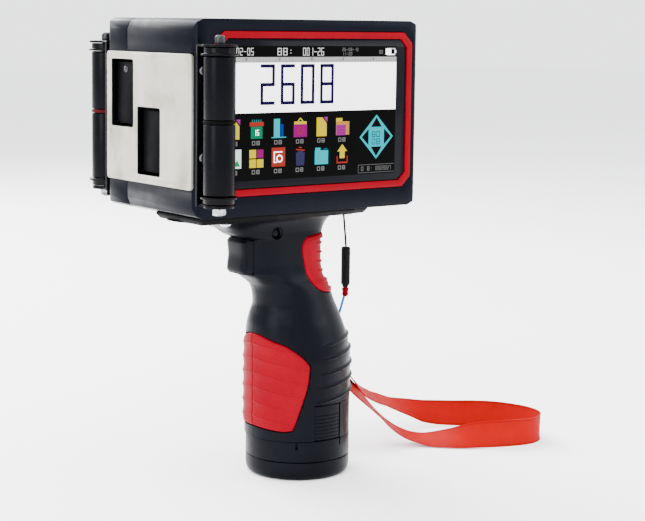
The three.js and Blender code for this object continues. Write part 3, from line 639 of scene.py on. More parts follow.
# Grip pad border as degrees from the front line and height
PAD_TOP = [(0.25, 77), (12, 76.1), (25, 73.9), (40, 71.6), (52.6, 68), (61, 64.7), (67.2, 60.8)]
PAD_REAR = [(49, 27.2), (52.6, 31.7), (58.5, 40.5), (64.6, 50.4), (67.2, 60.8)]
PAD_FOOT = [(0.25, 27.5), (20, 26.9), (40, 26.4), (49, 27.2)]
# Thumb pad border in side view, X and height
THUMB_FOOT = [(40, 96.2), (6, 97.6), (1, 99.4), (-2.2, 101.8)]
THUMB_SIDE = [(-2.2, 101.8), (-4.6, 106), (-6.4, 113), (-7.8, 121.6), (-7, 124.8), (-4.6, 127.2)]
THUMB_TOP = [(40, 129), (6, 128.4), (-4.6, 127.2)]
RIB_LEVELS = (75, 68, 60.3, 53.2, 46)
RIB_SLOPE = 0.13
RIB_LINE = 0.85
RIB_SWELL = 0.45
GRIP_SIDES = 192
GRIP_FOOT = 21.3
GRIP_TOP = 138.9


def section(z):
    """Section numbers at the given heights, eased between the rows of HANDLE."""
    rows = []
    for h in np.atleast_1d(z):
        i = int(np.clip(np.searchsorted(HANDLE[:, 0], h) - 1, 0, len(HANDLE) - 2))
        a, b = HANDLE[i], HANDLE[i + 1]
        before = HANDLE[max(0, i - 1)]
        after = HANDLE[min(len(HANDLE) - 1, i + 2)]
        span = b[0] - a[0]
        t = np.clip((h - a[0]) / span, 0, 1)
        slope_a = (b - before) / (b[0] - before[0]) * span
        slope_b = (after - a) / (after[0] - a[0]) * span
        limit = 1.6 * np.abs(b - a) + 1e-9
        slope_a = np.clip(slope_a, -limit, limit)
        slope_b = np.clip(slope_b, -limit, limit)
        h00, h10 = 2 * t ** 3 - 3 * t ** 2 + 1, t ** 3 - 2 * t ** 2 + t
        h01, h11 = -2 * t ** 3 + 3 * t ** 2, t ** 3 - t ** 2
        rows.append(h00 * a + h10 * slope_a + h01 * b + h11 * slope_b)
    return np.array(rows)


def grip_points(levels, offset):
    """Grid of points of the handle skin.  offset(x, y, z) in mm pushes it outward."""
    sec = section(levels)
    angle = np.linspace(0, 2 * math.pi, GRIP_SIDES, endpoint=False)
    c, s = np.cos(angle)[None, :], np.sin(angle)[None, :]
    e = (2 / sec[:, 4])[:, None]
    cx = ((sec[:, 1] + sec[:, 2]) / 2)[:, None]
    ax = ((sec[:, 2] - sec[:, 1]) / 2)[:, None]
    ay = sec[:, 3][:, None]
    ux = np.sign(c) * np.abs(c) ** e
    uy = np.sign(s) * np.abs(s) ** e
    z = np.repeat(np.array(levels, float)[:, None], GRIP_SIDES, 1)
    off = offset(cx + ax * ux, ay * uy, z)
    return np.stack([cx + (ax + off) * ux, (ay + off) * uy, z], 2)


def smooth(x, low, high):
    t = np.clip((x - low) / (high - low), 0, 1)
    return t * t * (3 - 2 * t)


def grip_solid(name, levels, offset):
    pts = grip_points(levels, offset) * MM
    return loose(name, *rings_mesh([list(r) for r in pts]))


ARC = 28.2 * math.pi / 180
TABLE_Z = np.arange(20.0, 139.2, 0.1)
TABLE = section(TABLE_Z)


def section_at(z):
    """The section numbers for a whole array of heights at once."""
    return [np.interp(z, TABLE_Z, TABLE[:, k]) for k in range(1, 5)]


def on_handle(angle, z, off):
    """Points on the handle skin at an angle from +X, pushed outward by off mm."""
    front, rear, half, power = section_at(z)
    c, s, e = np.cos(angle), np.sin(angle), 2 / power
    mid, reach = (front + rear) / 2, (rear - front) / 2
    x = mid + (reach + off) * np.sign(c) * np.abs(c) ** e
    y = (half + off) * np.sign(s) * np.abs(s) ** e
    return np.stack([x, y, z + 0 * x], -1)


def resample(points, count):
    """A smooth open curve through 2-D points."""
    flat = [(a, b, 0.0) for a, b in points]
    return spline(flat, count)[0][:, :2]


def coons(foot, far, top, near, nu, nv):
    """Grid over a four-sided outline: foot and top run along u, near and far along v."""
    f, t = resample(foot, nu), resample(top, nu)
    n, r = resample(near, nv), resample(far, nv)
    u, v = np.linspace(0, 1, nu)[None, :, None], np.linspace(0, 1, nv)[:, None, None]
    corner = (1 - v) * ((1 - u) * f[0] + u * f[-1]) + v * ((1 - u) * t[0] + u * t[-1])
    return (1 - v) * f[None] + v * t[None] + (1 - u) * n[:, None] + u * r[:, None] - corner


def nearest(grid, border):
    flat = grid.reshape(-1, 3)
    best = np.full(len(flat), 1e9)
    for p in border:
        best = np.minimum(best, np.linalg.norm(flat - p, axis=1))
    return best.reshape(grid.shape[:2])


def shell_mesh(outer, inner):
    """A closed thin shell from two equal grids of points."""
    nv, nu = outer.shape[:2]
    verts = [p * MM for p in outer.reshape(-1, 3)] + [p * MM for p in inner.reshape(-1, 3)]
    base = nv * nu
    faces = []
    for i in range(nv - 1):
        for k in range(nu - 1):
            q = (i * nu + k, i * nu + k + 1, (i + 1) * nu + k + 1, (i + 1) * nu + k)
            faces.append(q)
            faces.append(tuple(base + c for c in q[::-1]))
    rim = [k for k in range(nu)] + [i * nu + nu - 1 for i in range(1, nv)]
    rim += [(nv - 1) * nu + k for k in range(nu - 2, -1, -1)] + [i * nu for i in range(nv - 2, 0, -1)]
    for a, b in zip(rim, rim[1:] + rim[:1]):
        faces.append((b, a, base + a, base + b))
    return verts, faces


def round_edge(d, low, high, width):
    """Height of a pad border that rises as a quarter round over width mm."""
    t = np.clip(d / width, 0, 1)
    return low + (high - low) * np.sqrt(1 - (1 - t) ** 2)


def housing_offset(x, y, z):
    """Rear ribs, each a soft swell that ends in a crisp raised line."""
    off = np.zeros_like(x)
    for i, level in enumerate(RIB_LEVELS):
        ease = smooth(x, -3 - 1.6 * i, 3 - 1.6 * i)
        line = level - RIB_SLOPE * (27 - x)
        off += RIB_LINE * ease * np.exp(-((z - line) / 0.5) ** 2)
        off += RIB_SWELL * ease * smooth(z, line - 6.6, line - 0.8) * (z < line)
    return off


def pad_angle(degrees, z, side):
    """The section angle whose direction from the axis is the asked one."""
    front, rear, half, _ = section_at(z)
    want = np.radians(degrees)
    mid, reach = (front + rear) / 2, (rear - front) / 2
    t = want.copy()
    for _ in range(6):
        t = t + want - np.arctan2(half * np.sin(t), reach * np.cos(t) - mid)
    return math.pi - side * t


PAD_SINK = 1.2
PAD_PITCH = 7.7
PAD_FIRST = 72.0
PAD_SLOPE = 0.15


def pad_piece(node, angle, z, off):
    """A rubber pad over a grid of skin points, with its back sunk below the skin."""
    verts, faces = shell_mesh(on_handle(angle, z, off), on_handle(angle, z, 0 * z - PAD_SINK))
    dress(loose(node + "_rubber", verts, faces), "rubber", (node,), sharp=50.0)


def grip_pads():
    front = [(0.25, 27.5), (0.25, 77)]
    grid = coons(PAD_FOOT, PAD_REAR, PAD_TOP, front, 90, 230)
    deg, z = grid[..., 0], grid[..., 1]
    edge = np.concatenate([resample(PAD_FOOT, 160), resample(PAD_REAR, 160), resample(PAD_TOP, 160)])
    for side, node in ((-1, "grip_pad_near"), (1, "grip_pad_far")):
        angle = pad_angle(deg, z, side)
        skin = on_handle(angle, z, 0 * z)
        border = on_handle(pad_angle(edge[:, 0], edge[:, 1], side), edge[:, 1], 0 * edge[:, 1])
        d = nearest(skin, border)
        off = round_edge(d, -1.0, 0.75, 1.5)
        turns = (z + PAD_SLOPE * deg * ARC - PAD_FIRST) / PAD_PITCH
        away = (turns - np.round(turns)) * PAD_PITCH
        inside = smooth(d, 0.3, 1.6)
        off += inside * (0.34 * np.exp(-(away / 0.42) ** 2) - 0.16 * np.cos(2 * math.pi * turns + math.pi))
        off -= 0.35 * np.exp(-(skin[..., 1] / 0.5) ** 2)
        pad_piece(node, angle, z, off)


def side_angle(x, z):
    """Angle from +X of the skin point at a given X, on the +Y side."""
    front, rear, half, power = section_at(z)
    mid, reach = (front + rear) / 2, (rear - front) / 2
    k = np.clip((x - mid) / reach, -1, 1)
    return np.arccos(np.sign(k) * np.abs(k) ** (power / 2))


def thumb_rest():
    def lift(points):
        p = np.array(points, float)
        return list(zip(side_angle(p[:, 0], p[:, 1]) * 15, p[:, 1]))
    foot, flank, top = lift(THUMB_FOOT), lift(THUMB_SIDE), lift(THUMB_TOP)
    spine = [foot[0], top[0]]
    half = coons(foot, flank, top, spine, 60, 150)
    angle = np.concatenate([-half[:, :0:-1, 0], half[..., 0]], 1) / 15
    z = np.concatenate([half[:, :0:-1, 1], half[..., 1]], 1)
    skin = on_handle(angle, z, 0 * z)
    edge = np.concatenate([resample(foot, 120), resample(flank, 160), resample(top, 120)])
    edge = np.concatenate([edge, edge * (-1, 1)])
    d = nearest(skin, on_handle(edge[:, 0] / 15, edge[:, 1], 0 * edge[:, 1]))
    off = round_edge(d, -1.0, 0.65, 1.3)
    off -= 0.8 * smooth(d, 2.5, 2.9)
    off += 0.3 * np.exp(-((d - 2.3) / 0.4) ** 2)
    turns = (z - 98.6) / 4.9
    away = (turns - np.round(turns)) * 4.9
    off += 0.7 * np.exp(-(away / 0.5) ** 2) * smooth(d, 2.6, 3.6) * smooth(skin[..., 0], 2.0, 6.0)
    pad_piece("thumb_pad", angle, z, off)


def constant(value):
    return lambda x, y, z: np.full_like(x, value)


def grown_outline(outline, d):
    """The closed outline moved outward by d."""
    flat = [Vector(p) for p in outline]
    n = len(flat)
    area = sum(flat[i - 1].x * flat[i].y - flat[i].x * flat[i - 1].y for i in range(n))
    turn_sign = 1.0 if area > 0 else -1.0
    out = []
    for i, p in enumerate(flat):
        u = (p - flat[i - 1]).normalized()
        w = (flat[(i + 1) % n] - p).normalized()
        m = Vector((u.y + w.y, -u.x - w.x)).normalized() * turn_sign
        out.append(tuple(p + m * d))
    return out


def pad_space(side, grow):
    """The space over a grip pad's outline, between two radii."""
    ring = list(map(tuple, resample(PAD_FOOT, 14))) + list(map(tuple, resample(PAD_REAR, 16)))[1:]
    ring += list(map(tuple, resample(PAD_TOP, 20)))[-2::-1]
    flat = grown_outline([(a * ARC, z) for a, z in ring], grow)
    moved = [(max(a, -0.02) / ARC, z) for a, z in flat]
    verts = []
    for r in (8, 50):
        for a, z in moved:
            t = math.radians(a)
            verts.append((-r * math.cos(t) * MM, side * r * math.sin(t) * MM, z * MM))
    obj = loose("pad_space", verts, prism_faces(len(moved)))
    bm = bmesh.new()
    bm.from_mesh(obj.data)
    bmesh.ops.triangulate(bm, faces=bm.faces)
    bm.to_mesh(obj.data)
    bm.free()
    return obj


def fine(low, high, step):
    return list(np.linspace(low, high, max(2, int(round((high - low) / step)) + 1)))


def cavity(lo, hi, step, space, deep=-1.5):
    """A layer of the handle skin, deep mm down, inside the given space."""
    sunk = grip_solid("layer", fine(lo, hi, step), constant(4.0))
    carve(sunk, grip_solid("core", fine(lo - 1, hi + 1, step), constant(deep)))
    return carve(sunk, space, "INTERSECT")


def handle_halves():
    levels = fine(GRIP_FOOT, 36, 1.2)[:-1] + fine(36, 79, 0.3)[:-1]
    levels += fine(79, 104, 0.8)[:-1] + fine(104, GRIP_TOP, 0.5)
    whole = grip_solid("handle_whole", levels, housing_offset)
    for side in (-1, 1):
        carve(whole, cavity(20, 84, 2.0, pad_space(side, 0.45)))
    thumb = list(map(tuple, resample(THUMB_FOOT, 24))) + list(map(tuple, resample(THUMB_SIDE, 30)))[1:]
    thumb += list(map(tuple, resample(THUMB_TOP, 16)))[-2::-1]
    carve(whole, cavity(89, 132, 1.0, pillar(grown_outline(thumb, 0.4), "y", -40, 40)))
    carve(whole, plug(22.0, 0, 79.6, "z", ORIGIN, 96))
    carve(whole, plug(17, 79, 84, "z", ORIGIN, 64))
    for y0, y1 in ((-40, -20), (20, 40)):
        carve(whole, block(-8.6, 8.6, y0, y1, 0, 40.3))
        groove = turned("groove", [(27.35, 39.9), (30, 39.9), (30, 40.3), (27.35, 40.3)], "z", ORIGIN, 96)
        carve(groove, block(8.0, 40, min(y0, 0), max(y1, 0), 0, 60), "INTERSECT")
        carve(whole, groove)
    carve(whole, block(-60, -25.6, -8.8, 8.8, 109.1, 127.9))
    carve(whole, block(-26, -5, -6, 6, 110.5, 124.5))
    bore = [(0, -30), (3.4, -30), (3.4, -13.2), (2.5, -12.2), (2.5, -9.5), (0, -9.5)]
    carve(whole, turned("bore", bore, "y", (-24, 0, 130.5), 48))
    carve(whole, block(-6, 4, -6, 6, 83, 140))
    for node, y0, y1 in (("handle_shell_near", -60, -0.1), ("handle_shell_far", 0.1, 60)):
        half = whole.copy()
        half.data = whole.data.copy()
        half.name = node + "_moulded"
        bpy.context.scene.collection.objects.link(half)
        carve(half, block(-120, 60, y0, y1, 0, 200), "INTERSECT")
        dress(half, "grip", (node,), sharp=38.0)
    bpy.data.objects.remove(whole)


grip_pads()
thumb_rest()
handle_halves()


TRIGGER_Z = (109.4, 127.6)


def trigger_piece():
    """Curved trigger: rounded sides, a shallow finger hollow, guide stem behind."""
    rings = []
    z0, z1 = TRIGGER_Z
    near_end = (0, 0.25, 0.8, 1.6)
    levels = [z0 + d for d in near_end] + fine(z0 + 2.4, z1 - 2.4, 0.8) + [z1 - d for d in near_end[::-1]]
    for z in levels:
        end = min(z - z0, z1 - z)
        tuck = 1.0 * (1 - smooth(np.array(end), 0.0, 1.6))
        hollow = 0.9 * math.exp(-(((z - 119.0) / 5.0) ** 2))
        front = -42.0 + tuck + hollow
        half = 8.5 - 0.6 * tuck
        ring = [(-30.0, half), (-30.0, -half)]
        for k in range(13):
            a = -math.pi / 2 + math.pi * k / 12
            c, s = math.cos(a), math.sin(a)
            x = front + 3.0 - 3.0 * abs(c) ** 0.6
            y = s / abs(s) * abs(s) ** 0.45 * half if abs(s) > 1e-6 else 0.0
            ring.append((x, y))
        rings.append(level_ring(ring, z))
    body = loose("trigger_curved", *rings_mesh(rings))
    carve(body, block(-31, -21, -5, 5, 112, 123), "UNION")
    dress(body, "grip", ("trigger",), "trigger_body")


trigger_piece()

# ------------------------------------------------------------- the battery


LATCH_Z = (GRIP_FOOT, 40.0)
LATCH_X = (-8.3, 7.5)
LATCH_BACK = 23.6
LATCH_R = 27.7
LATCH_RIBS = (23.0, 36.4)
LATCH_RIB_PITCH = 1.9
CELL_CIRCLE = 10.9


def latch(side, node, body):
    """A curved press plate, crossed by fine grooves over its middle."""
    rings = []
    for z in fine(*LATCH_Z, 0.12):
        edge = min(z - LATCH_Z[0], LATCH_Z[1] - z)
        r = LATCH_R - 0.5 * (1 - smooth(np.array(edge), 0.0, 0.6))
        if LATCH_RIBS[0] < z < LATCH_RIBS[1] and np.mod(z - LATCH_RIBS[0], LATCH_RIB_PITCH) < 0.4:
            r -= 0.35
        ring = [(LATCH_X[1], LATCH_BACK), (LATCH_X[0], LATCH_BACK)]
        left, right = (math.asin(x / r) for x in LATCH_X)
        for k in range(25):
            a = left + (right - left) * k / 24
            ring.append((r * math.sin(a), r * math.cos(a)))
        rings.append(level_ring([(x, side * y) for x, y in ring], z))
    dress(loose(node + "_ribbed", *rings_mesh(rings)), "grip", (node,), body, 30.0)


def battery_pieces():
    lathe("battery_base_moulded",
          [(0, 0.6), (20, 0.6), (20.6, 0), (24.4, 0), (26.3, 0.6), (27.3, 2.0), (27.8, 4.6),
           (27.8, 9.8), (0, 9.8)],
          "z", ORIGIN, "grip", ("battery_base_cap",), r=0.5, steps=128, body="battery")
    cup = [(0, 77.7), (20.5, 77.7), (20.5, 10.2), (27.8, 10.2), (27.8, 21.0), (21.5, 21.0),
           (21.5, 79), (0, 79)]
    shell = turned("battery_shell_moulded", rounded(cup, 0.35), "z", ORIGIN, 128)
    for a, wide, low in ((53.0, 0.6, 17.0), (-53.0, 0.6, 17.0), (107.5, 0.5, 17.2), (-107.5, 0.5, 17.2)):
        t = math.radians(180 + a)
        slit = block(24.5, 30, -wide, wide, low, 22)
        slit.data.transform(Matrix.Rotation(t, 4, "Z"))
        carve(shell, slit)
    dress(shell, "grip", ("battery_shell",), "battery", 38.0)
    for side, node, body in ((-1, "latch_near", "near_latch"), (1, "latch_far", "far_latch")):
        latch(side, node, body)
    for i in range(3):
        a = i / 3 * 2 * math.pi
        at = (CELL_CIRCLE * math.cos(a), CELL_CIRCLE * math.sin(a), 0)
        lathe(f"battery_cell_{i + 1}_wrapped",
              [(0, 11.2), (9.2, 11.2), (9.2, 72.4), (8.9, 72.9), (9.2, 73.4), (9.2, 75.2),
               (3, 75.2), (3, 76.6), (0, 76.6)],
              "z", at, "cell", (f"battery_cell_{i + 1}",), steps=64, body="battery")


battery_pieces()

# -------------------------------------------------------------- the rollers
ROLLER_X = -77.4
# Y of each roller's axis, and Y of the head's face beside it
NEAR_ROLLER = (-39.6, -28.3)
FAR_ROLLER = (68.6, 57.3)
BRACKET_T = 1.9
SADDLE_SCREW = (-62, -22.4, 0)


def hexagon(cx, cy, r):
    return [(cx + r * math.cos(k * math.pi / 3), cy + r * math.sin(k * math.pi / 3)) for k in range(6)]


def screw(node, axis, at, out, sign, mat, head=2.3, tall=1.3, shank=1.2, tip=-3.0):
    """Button-head screw with a hexagon socket.  out: face it sits on; sign: way it faces."""
    p = [(0, out + sign * tall), (head * 0.55, out + sign * tall), (head * 0.85, out + sign * tall * 0.75),
         (head, out + sign * tall * 0.3), (head, out), (shank, out), (shank, tip), (0, tip)]
    obj = turned(node + "_button", rounded(p, 0.2), axis, at, 40)
    low, high = sorted((out + sign * tall * 0.25, out + sign * (tall + 1)))
    across = at[2] if axis == "y" else at[1]
    carve(obj, pillar(hexagon(at[0], across, head * 0.5), axis, low, high))
    dress(obj, mat, (node,), sharp=30.0)


def roller(tag, y, face):
    at = (ROLLER_X, y, 0)
    side = 1 if y > face else -1
    # The far band gets the darker copy of the red trim, which is painted shade; the near band is black.
    band_mat = "painted_shade_red" if side > 0 else "band_dark"
    # Name after the tag, the node it stands for, material, corner radius and profile
    for name, node, mat, r, profile in (
        ("turned", "roller", "roller", 0.25,
         [(2.5, 155.2), (7.2, 155.2), (7.75, 155.8), (7.75, 189.6), (6.5, 189.6), (6.5, 192),
          (7.75, 192), (7.75, 221.6), (7.2, 222.2), (2.5, 222.2)]),
        ("band_ring", "roller_band", band_mat, 0.45,
         [(6.75, 190.0), (7.9, 190.0), (7.9, 191.6), (6.75, 191.6)]),
        ("cap_top_turned", "roller_cap_top", "flange", 0.3,
         [(2.5, 222.5), (9.2, 222.5), (9.2, 223.5), (7.75, 223.5), (7.75, 226.1), (7.4, 226.4),
          (2.5, 226.4)]),
        ("cap_bottom_turned", "roller_cap_bottom", "flange", 0.3,
         [(2.5, 151.6), (7.75, 151.6), (7.75, 153.9), (9.2, 153.9), (9.2, 154.9), (2.5, 154.9)]),
    ):
        lathe(f"{tag}_roller_{name}", profile, "z", at, mat, (f"{tag}_{node}",), r=r, steps=96,
              body=tag + "_roller_body")
    lathe(tag + "_axle_turned",
          [(0, 145.4), (1.6, 145.4), (1.6, 151.3), (2.2, 151.3), (2.2, 228.1), (2.6, 228.1),
           (2.6, 231.2), (1.9, 232.1), (0, 232.1)],
          "z", at, "axle", (tag + "_roller_axle",), r=0.25, steps=48)
    nut = pillar(hexagon(ROLLER_X, y, 3.7), "z", 146.0, 149.2, tag + "_nut_hex")
    barrel = [(0, 145.9), (3.2, 145.9), (3.75, 146.5), (3.75, 148.7), (3.2, 149.3), (0, 149.3)]
    carve(nut, turned("barrel", barrel, "z", at, 60), "INTERSECT")
    carve(nut, plug(1.9, 140, 152, "z", at, 32))
    dress(nut, "nut_steel", (tag + "_roller_nut",), sharp=25.0)
    for end, z in (("top", 215), ("bottom", 173)):
        screw(f"{tag}_bracket_screw_{end}", "y", (-80.6, 0, z), face + side * BRACKET_T, side, "screw_dark",
              tip=face + side * 0.2)


roller("near", *NEAR_ROLLER)
roller("far", *FAR_ROLLER)
screw("saddle_screw", "z", SADDLE_SCREW, 138.9, -1, "chrome", head=2.8, tall=1.5, shank=1.4, tip=142.0)

# -------------------------------------------------------------- the display
NAVY = (0.008, 0.0, 0.07)
WHITE = (4.0, 4.0, 4.1)
PALE = (1.3, 1.3, 1.3)
INK = (0.0008, 0.0008, 0.001)
CYAN = (0.0, 0.72, 0.85)
AQUA = (0.0, 0.5, 0.45)
GREEN = (0.0, 0.3, 0.15)
SALMON = (0.55, 0.045, 0.025)
BLUE = (0.0, 0.03, 0.55)
MAGENTA = (0.42, 0.0, 0.23)
YELLOW = (1.15, 0.86, 0.0)
SAND = (0.85, 0.42, 0.04)
ORCHID = (0.5, 0.03, 0.4)
SLATE = (0.045, 0.04, 0.13)
GREY = (0.25, 0.25, 0.25)
SOOT = (0.03, 0.03, 0.03)
MINT = (1.2, 1.7, 1.5)
LEAF = (0.0, 0.4, 0.15)
DEEP_BLUE = (0.0, 0.16, 0.3)
DEEP_CYAN = (0.0, 0.1, 0.14)
SCREEN_Y = -27.72
LAYER_GAP = 0.012
SCREEN = (-66.0, 41.6, 160.2, 226.8)
DIGIT_BARS = {"0": "abcdef", "1": "bc", "2": "abged", "3": "abgcd", "4": "fgbc", "5": "afgcd",
              "6": "afgedc", "7": "abc", "8": "abcdefg", "9": "abcdfg", "-": "g", " ": ""}


class Sheet:
    """Flat coloured tiles on the panel, each layer a hair nearer the viewer."""

    def __init__(self):
        self.verts, self.faces, self.colours = [], [], []

    def poly(self, points, colour, layer):
        base = len(self.verts)
        y = SCREEN_Y - LAYER_GAP * layer
        self.verts += [(x * MM, y * MM, z * MM) for x, z in points]
        self.faces.append(tuple(range(base, base + len(points))))
        self.colours.append(colour)

    def rect(self, x0, x1, z0, z1, colour, layer):
        self.poly([(x0, z0), (x1, z0), (x1, z1), (x0, z1)], colour, layer)

    def line(self, x0, z0, x1, z1, w, colour, layer):
        d = Vector((x1 - x0, z1 - z0)).normalized() * w / 2
        corners = [(x0 - d.y, z0 + d.x), (x0 + d.y, z0 - d.x), (x1 + d.y, z1 - d.x), (x1 - d.y, z1 + d.x)]
        self.poly(corners, colour, layer)

    def digits(self, text, x, z, w, h, colour, weight=0.16, pitch=1.35, layer=3):
        t = w * weight
        for ch in text:
            m = z + h / 2
            bars = {"a": (x, x + w, z + h - t, z + h), "g": (x, x + w, m - t / 2, m + t / 2),
                    "d": (x, x + w, z, z + t), "f": (x, x + t, m, z + h), "b": (x + w - t, x + w, m, z + h),
                    "e": (x, x + t, z, m), "c": (x + w - t, x + w, z, m)}
            if ch == ":":
                for zz in (z + h * 0.25, z + h * 0.65):
                    self.rect(x + w * 0.4, x + w * 0.4 + t, zz, zz + t, colour, layer)
            for bar in DIGIT_BARS.get(ch, ""):
                self.rect(*bars[bar], colour, layer)
            x += w * pitch


def loop_lines(cx, cz, rx, rz, sides, width):
    """A closed outline of short lines round a centre."""
    turns = [2 * math.pi * k / sides for k in range(sides)]
    ring = [(cx + rx * math.cos(a), cz + rz * math.sin(a)) for a in turns]
    return [(*a, *b, width) for a, b in zip(ring, ring[1:] + ring[:1])]


# Generic pictograms, 8.6 wide and 9.6 tall, drawn from their lower left corners.
# Each tile is a colour, a layer and a shape.  Four numbers are a box's X and Z ranges,
# five are a line's two ends and its width, and pairs are a polygon's corners.
ICONS = {
    "diary": [
        (GREEN, 2, (0.8, 7.8, 0, 6.0)), (SALMON, 2, (0, 8.6, 6.2, 8.3)),
        *[(AQUA, 3, (1.4 + i * 1.3, 1.8 + i * 1.3, 8.3, 9.5)) for i in range(5)],
    ],
    "bars": [
        (CYAN, 2, (1.2, 5.0, 0.5, 9.6)), (BLUE, 2, (5.4, 7.2, 0.5, 6.9)), (CYAN, 3, (-0.2, 8.8, 0, 0.5)),
    ],
    "bag": [
        (MAGENTA, 2, (0, 8.4, 0, 6.4)), (YELLOW, 2, (0.3, 8.1, 6.5, 7.9)),
        (YELLOW, 3, (2.6, 7.9, 4.2, 9.6, 0.6)), (YELLOW, 3, (5.8, 7.9, 4.2, 9.6, 0.6)),
        *[(SALMON, 3, line) for line in loop_lines(4.2, 3.2, 1.7, 1.9, 6, 0.4)],
    ],
    "note": [
        (YELLOW, 2, ((1, 0), (7.4, 0), (7.4, 6.4), (4.6, 9.6), (1, 9.6))),
        (ORCHID, 2, ((5.4, 9.8), (8.0, 9.8), (7.8, 7.0))),
    ],
    "folder": [
        (SAND, 2, (0, 8.6, 0.3, 7.2)), (YELLOW, 2, (0, 4.0, 7.2, 9.0)), (ORCHID, 3, (0.2, 6.4, 0.1, 5.6)),
        *[(MAGENTA, 4, (0.8, 5.8, 1.2 + i * 1.5, 1.5 + i * 1.5)) for i in range(3)],
    ],
    "grid": [
        (YELLOW, 2, (0, 4.0, 0, 4.2)), (YELLOW, 2, (4.5, 8.5, 0, 4.2)),
        (YELLOW, 2, (0, 4.0, 4.8, 9.0)), (MAGENTA, 2, (4.5, 8.5, 4.8, 9.0)),
    ],
    "settings": [
        (SALMON, 2, (0, 8.4, 0, 9.6)), (WHITE, 3, (1.4, 1.9, 2.0, 7.6)),
        (WHITE, 3, (1.4, 6.6, 7.1, 7.6)), (WHITE, 3, (1.4, 3.4, 2.0, 2.5)),
        *[(WHITE, 3, line) for line in loop_lines(4.9, 4.0, 1.7, 1.7, 8, 0.6)],
    ],
    "bin": [
        (SLATE, 2, ((1.8, 0), (6.8, 0), (7.1, 6.6), (1.5, 6.6))), (SLATE, 2, (2.6, 6.0, 6.6, 7.3)),
        (SALMON, 3, (1.6, 8.2, 7.0, 7.6, 0.6)), (SALMON, 3, (3.4, 9.3, 5.2, 9.0, 0.6)),
    ],
    "files": [
        (CYAN, 2, (0, 8.6, 0, 7.2)), (CYAN, 2, (0.3, 3.6, 7.2, 8.6)), (DEEP_BLUE, 2, (5.6, 8.0, 7.5, 8.2)),
    ],
    "export": [
        (YELLOW, 2, ((4.2, 9.9), (1.0, 6.2), (7.4, 6.2))), (YELLOW, 2, (2.6, 5.8, 2.6, 6.2)),
        (SALMON, 3, (0.6, 1.3, 0.3, 3.8)), (SALMON, 3, (7.1, 7.8, 0.3, 3.8)), (SALMON, 3, (0.6, 7.8, 0, 0.8)),
    ],
    "album": [
        (MINT, 2, (0, 8.6, 0, 9.4)), (GREEN, 3, ((0.8, 1.0), (6.4, 1.0), (3.6, 6.8))),
        (LEAF, 4, ((4.0, 1.0), (8.0, 1.0), (6.2, 4.2))),
    ],
}
ICON_ROWS = (
    (181.0, ("note", "diary", "bars", "bag", "note", "folder")),
    (166.6, ("album", "grid", "settings", "bin", "files", "export")),
)
ICON_FIRST_X = -65.2
ICON_PITCH = 13.48


def icon(s, kind, x, z):
    for colour, layer, shape in ICONS[kind]:
        if isinstance(shape[0], tuple):
            s.poly([(x + a, z + b) for a, b in shape], colour, layer)
        elif len(shape) == 5:
            x0, z0, x1, z1, width = shape
            s.line(x + x0, z + z0, x + x1, z + z1, width, colour, layer)
        else:
            x0, x1, z0, z1 = shape
            s.rect(x + x0, x + x1, z + z0, z + z1, colour, layer)
    if kind == "diary":
        s.digits("15", x + 2.6, z + 1.6, 1.3, 2.8, WHITE, 0.25)


# Rows of figures: the figures, left X, foot Z, width, height, colour and bar weight
FIGURES = (
    ("002-05", -62.0, 222.2, 1.6, 3.6, PALE, 0.2), ("88:", -35.2, 222.2, 2.6, 3.6, PALE, 0.16),
    ("001-26", -19.4, 222.0, 1.7, 3.9, PALE, 0.2), ("26-08-12", 5.6, 224.2, 1.0, 1.7, GREY, 0.25),
    ("11:20", 5.6, 222.0, 1.0, 1.7, GREY, 0.25), ("88", 30.0, 222.8, 1.0, 2.0, GREY, 0.25),
)
# The battery sign at the top right: X range, Z range and colour of each tile
BATTERY_SIGN = (
    (35.0, 40.6, 222.2, 222.7, WHITE), (35.0, 40.6, 225.3, 225.8, PALE),
    (40.2, 40.8, 222.2, 225.8, PALE), (40.8, 41.3, 223.2, 224.8, WHITE),
    (34.4, 38.0, 222.4, 225.6, WHITE),
)


def arrow_diamond(s, cx, cz, hx, hz):
    """Four arrows round a middle square, with two figures in it."""
    s.poly([(cx - hx, cz), (cx, cz - hz), (cx + hx, cz), (cx, cz + hz)], CYAN, 1)
    for sx, sz in ((1, 0), (-1, 0), (0, 1), (0, -1)):
        tip = (cx + sx * (hx - 1.4), cz + sz * (hz - 1.4))
        foot = [(cx + sx * 5.2 + k * sz * 3.6, cz + sz * 5.2 + k * sx * 4.2) for k in (1, -1)]
        s.poly([tip] + foot, INK, 2)
    s.digits("80", cx - 2.9, cz - 0.2, 2.2, 3.0, DEEP_CYAN, 0.16)
    s.digits("08", cx - 2.9, cz - 4.0, 2.2, 3.0, DEEP_CYAN, 0.16)


def ruler(s, left):
    """The scale over the message: a mark each 2 mm, a longer one each 10 mm."""
    for i in range(54):
        x = left + 2.0 * i
        tall = 1.5 if i % 5 == 0 else 0.8
        s.rect(x, x + 0.22, 218.8, 218.8 + tall, SOOT, 3)
        if i % 10 == 5:
            s.digits("10", x + 0.8, 219.7, 0.8, 1.2, SOOT, 0.3)


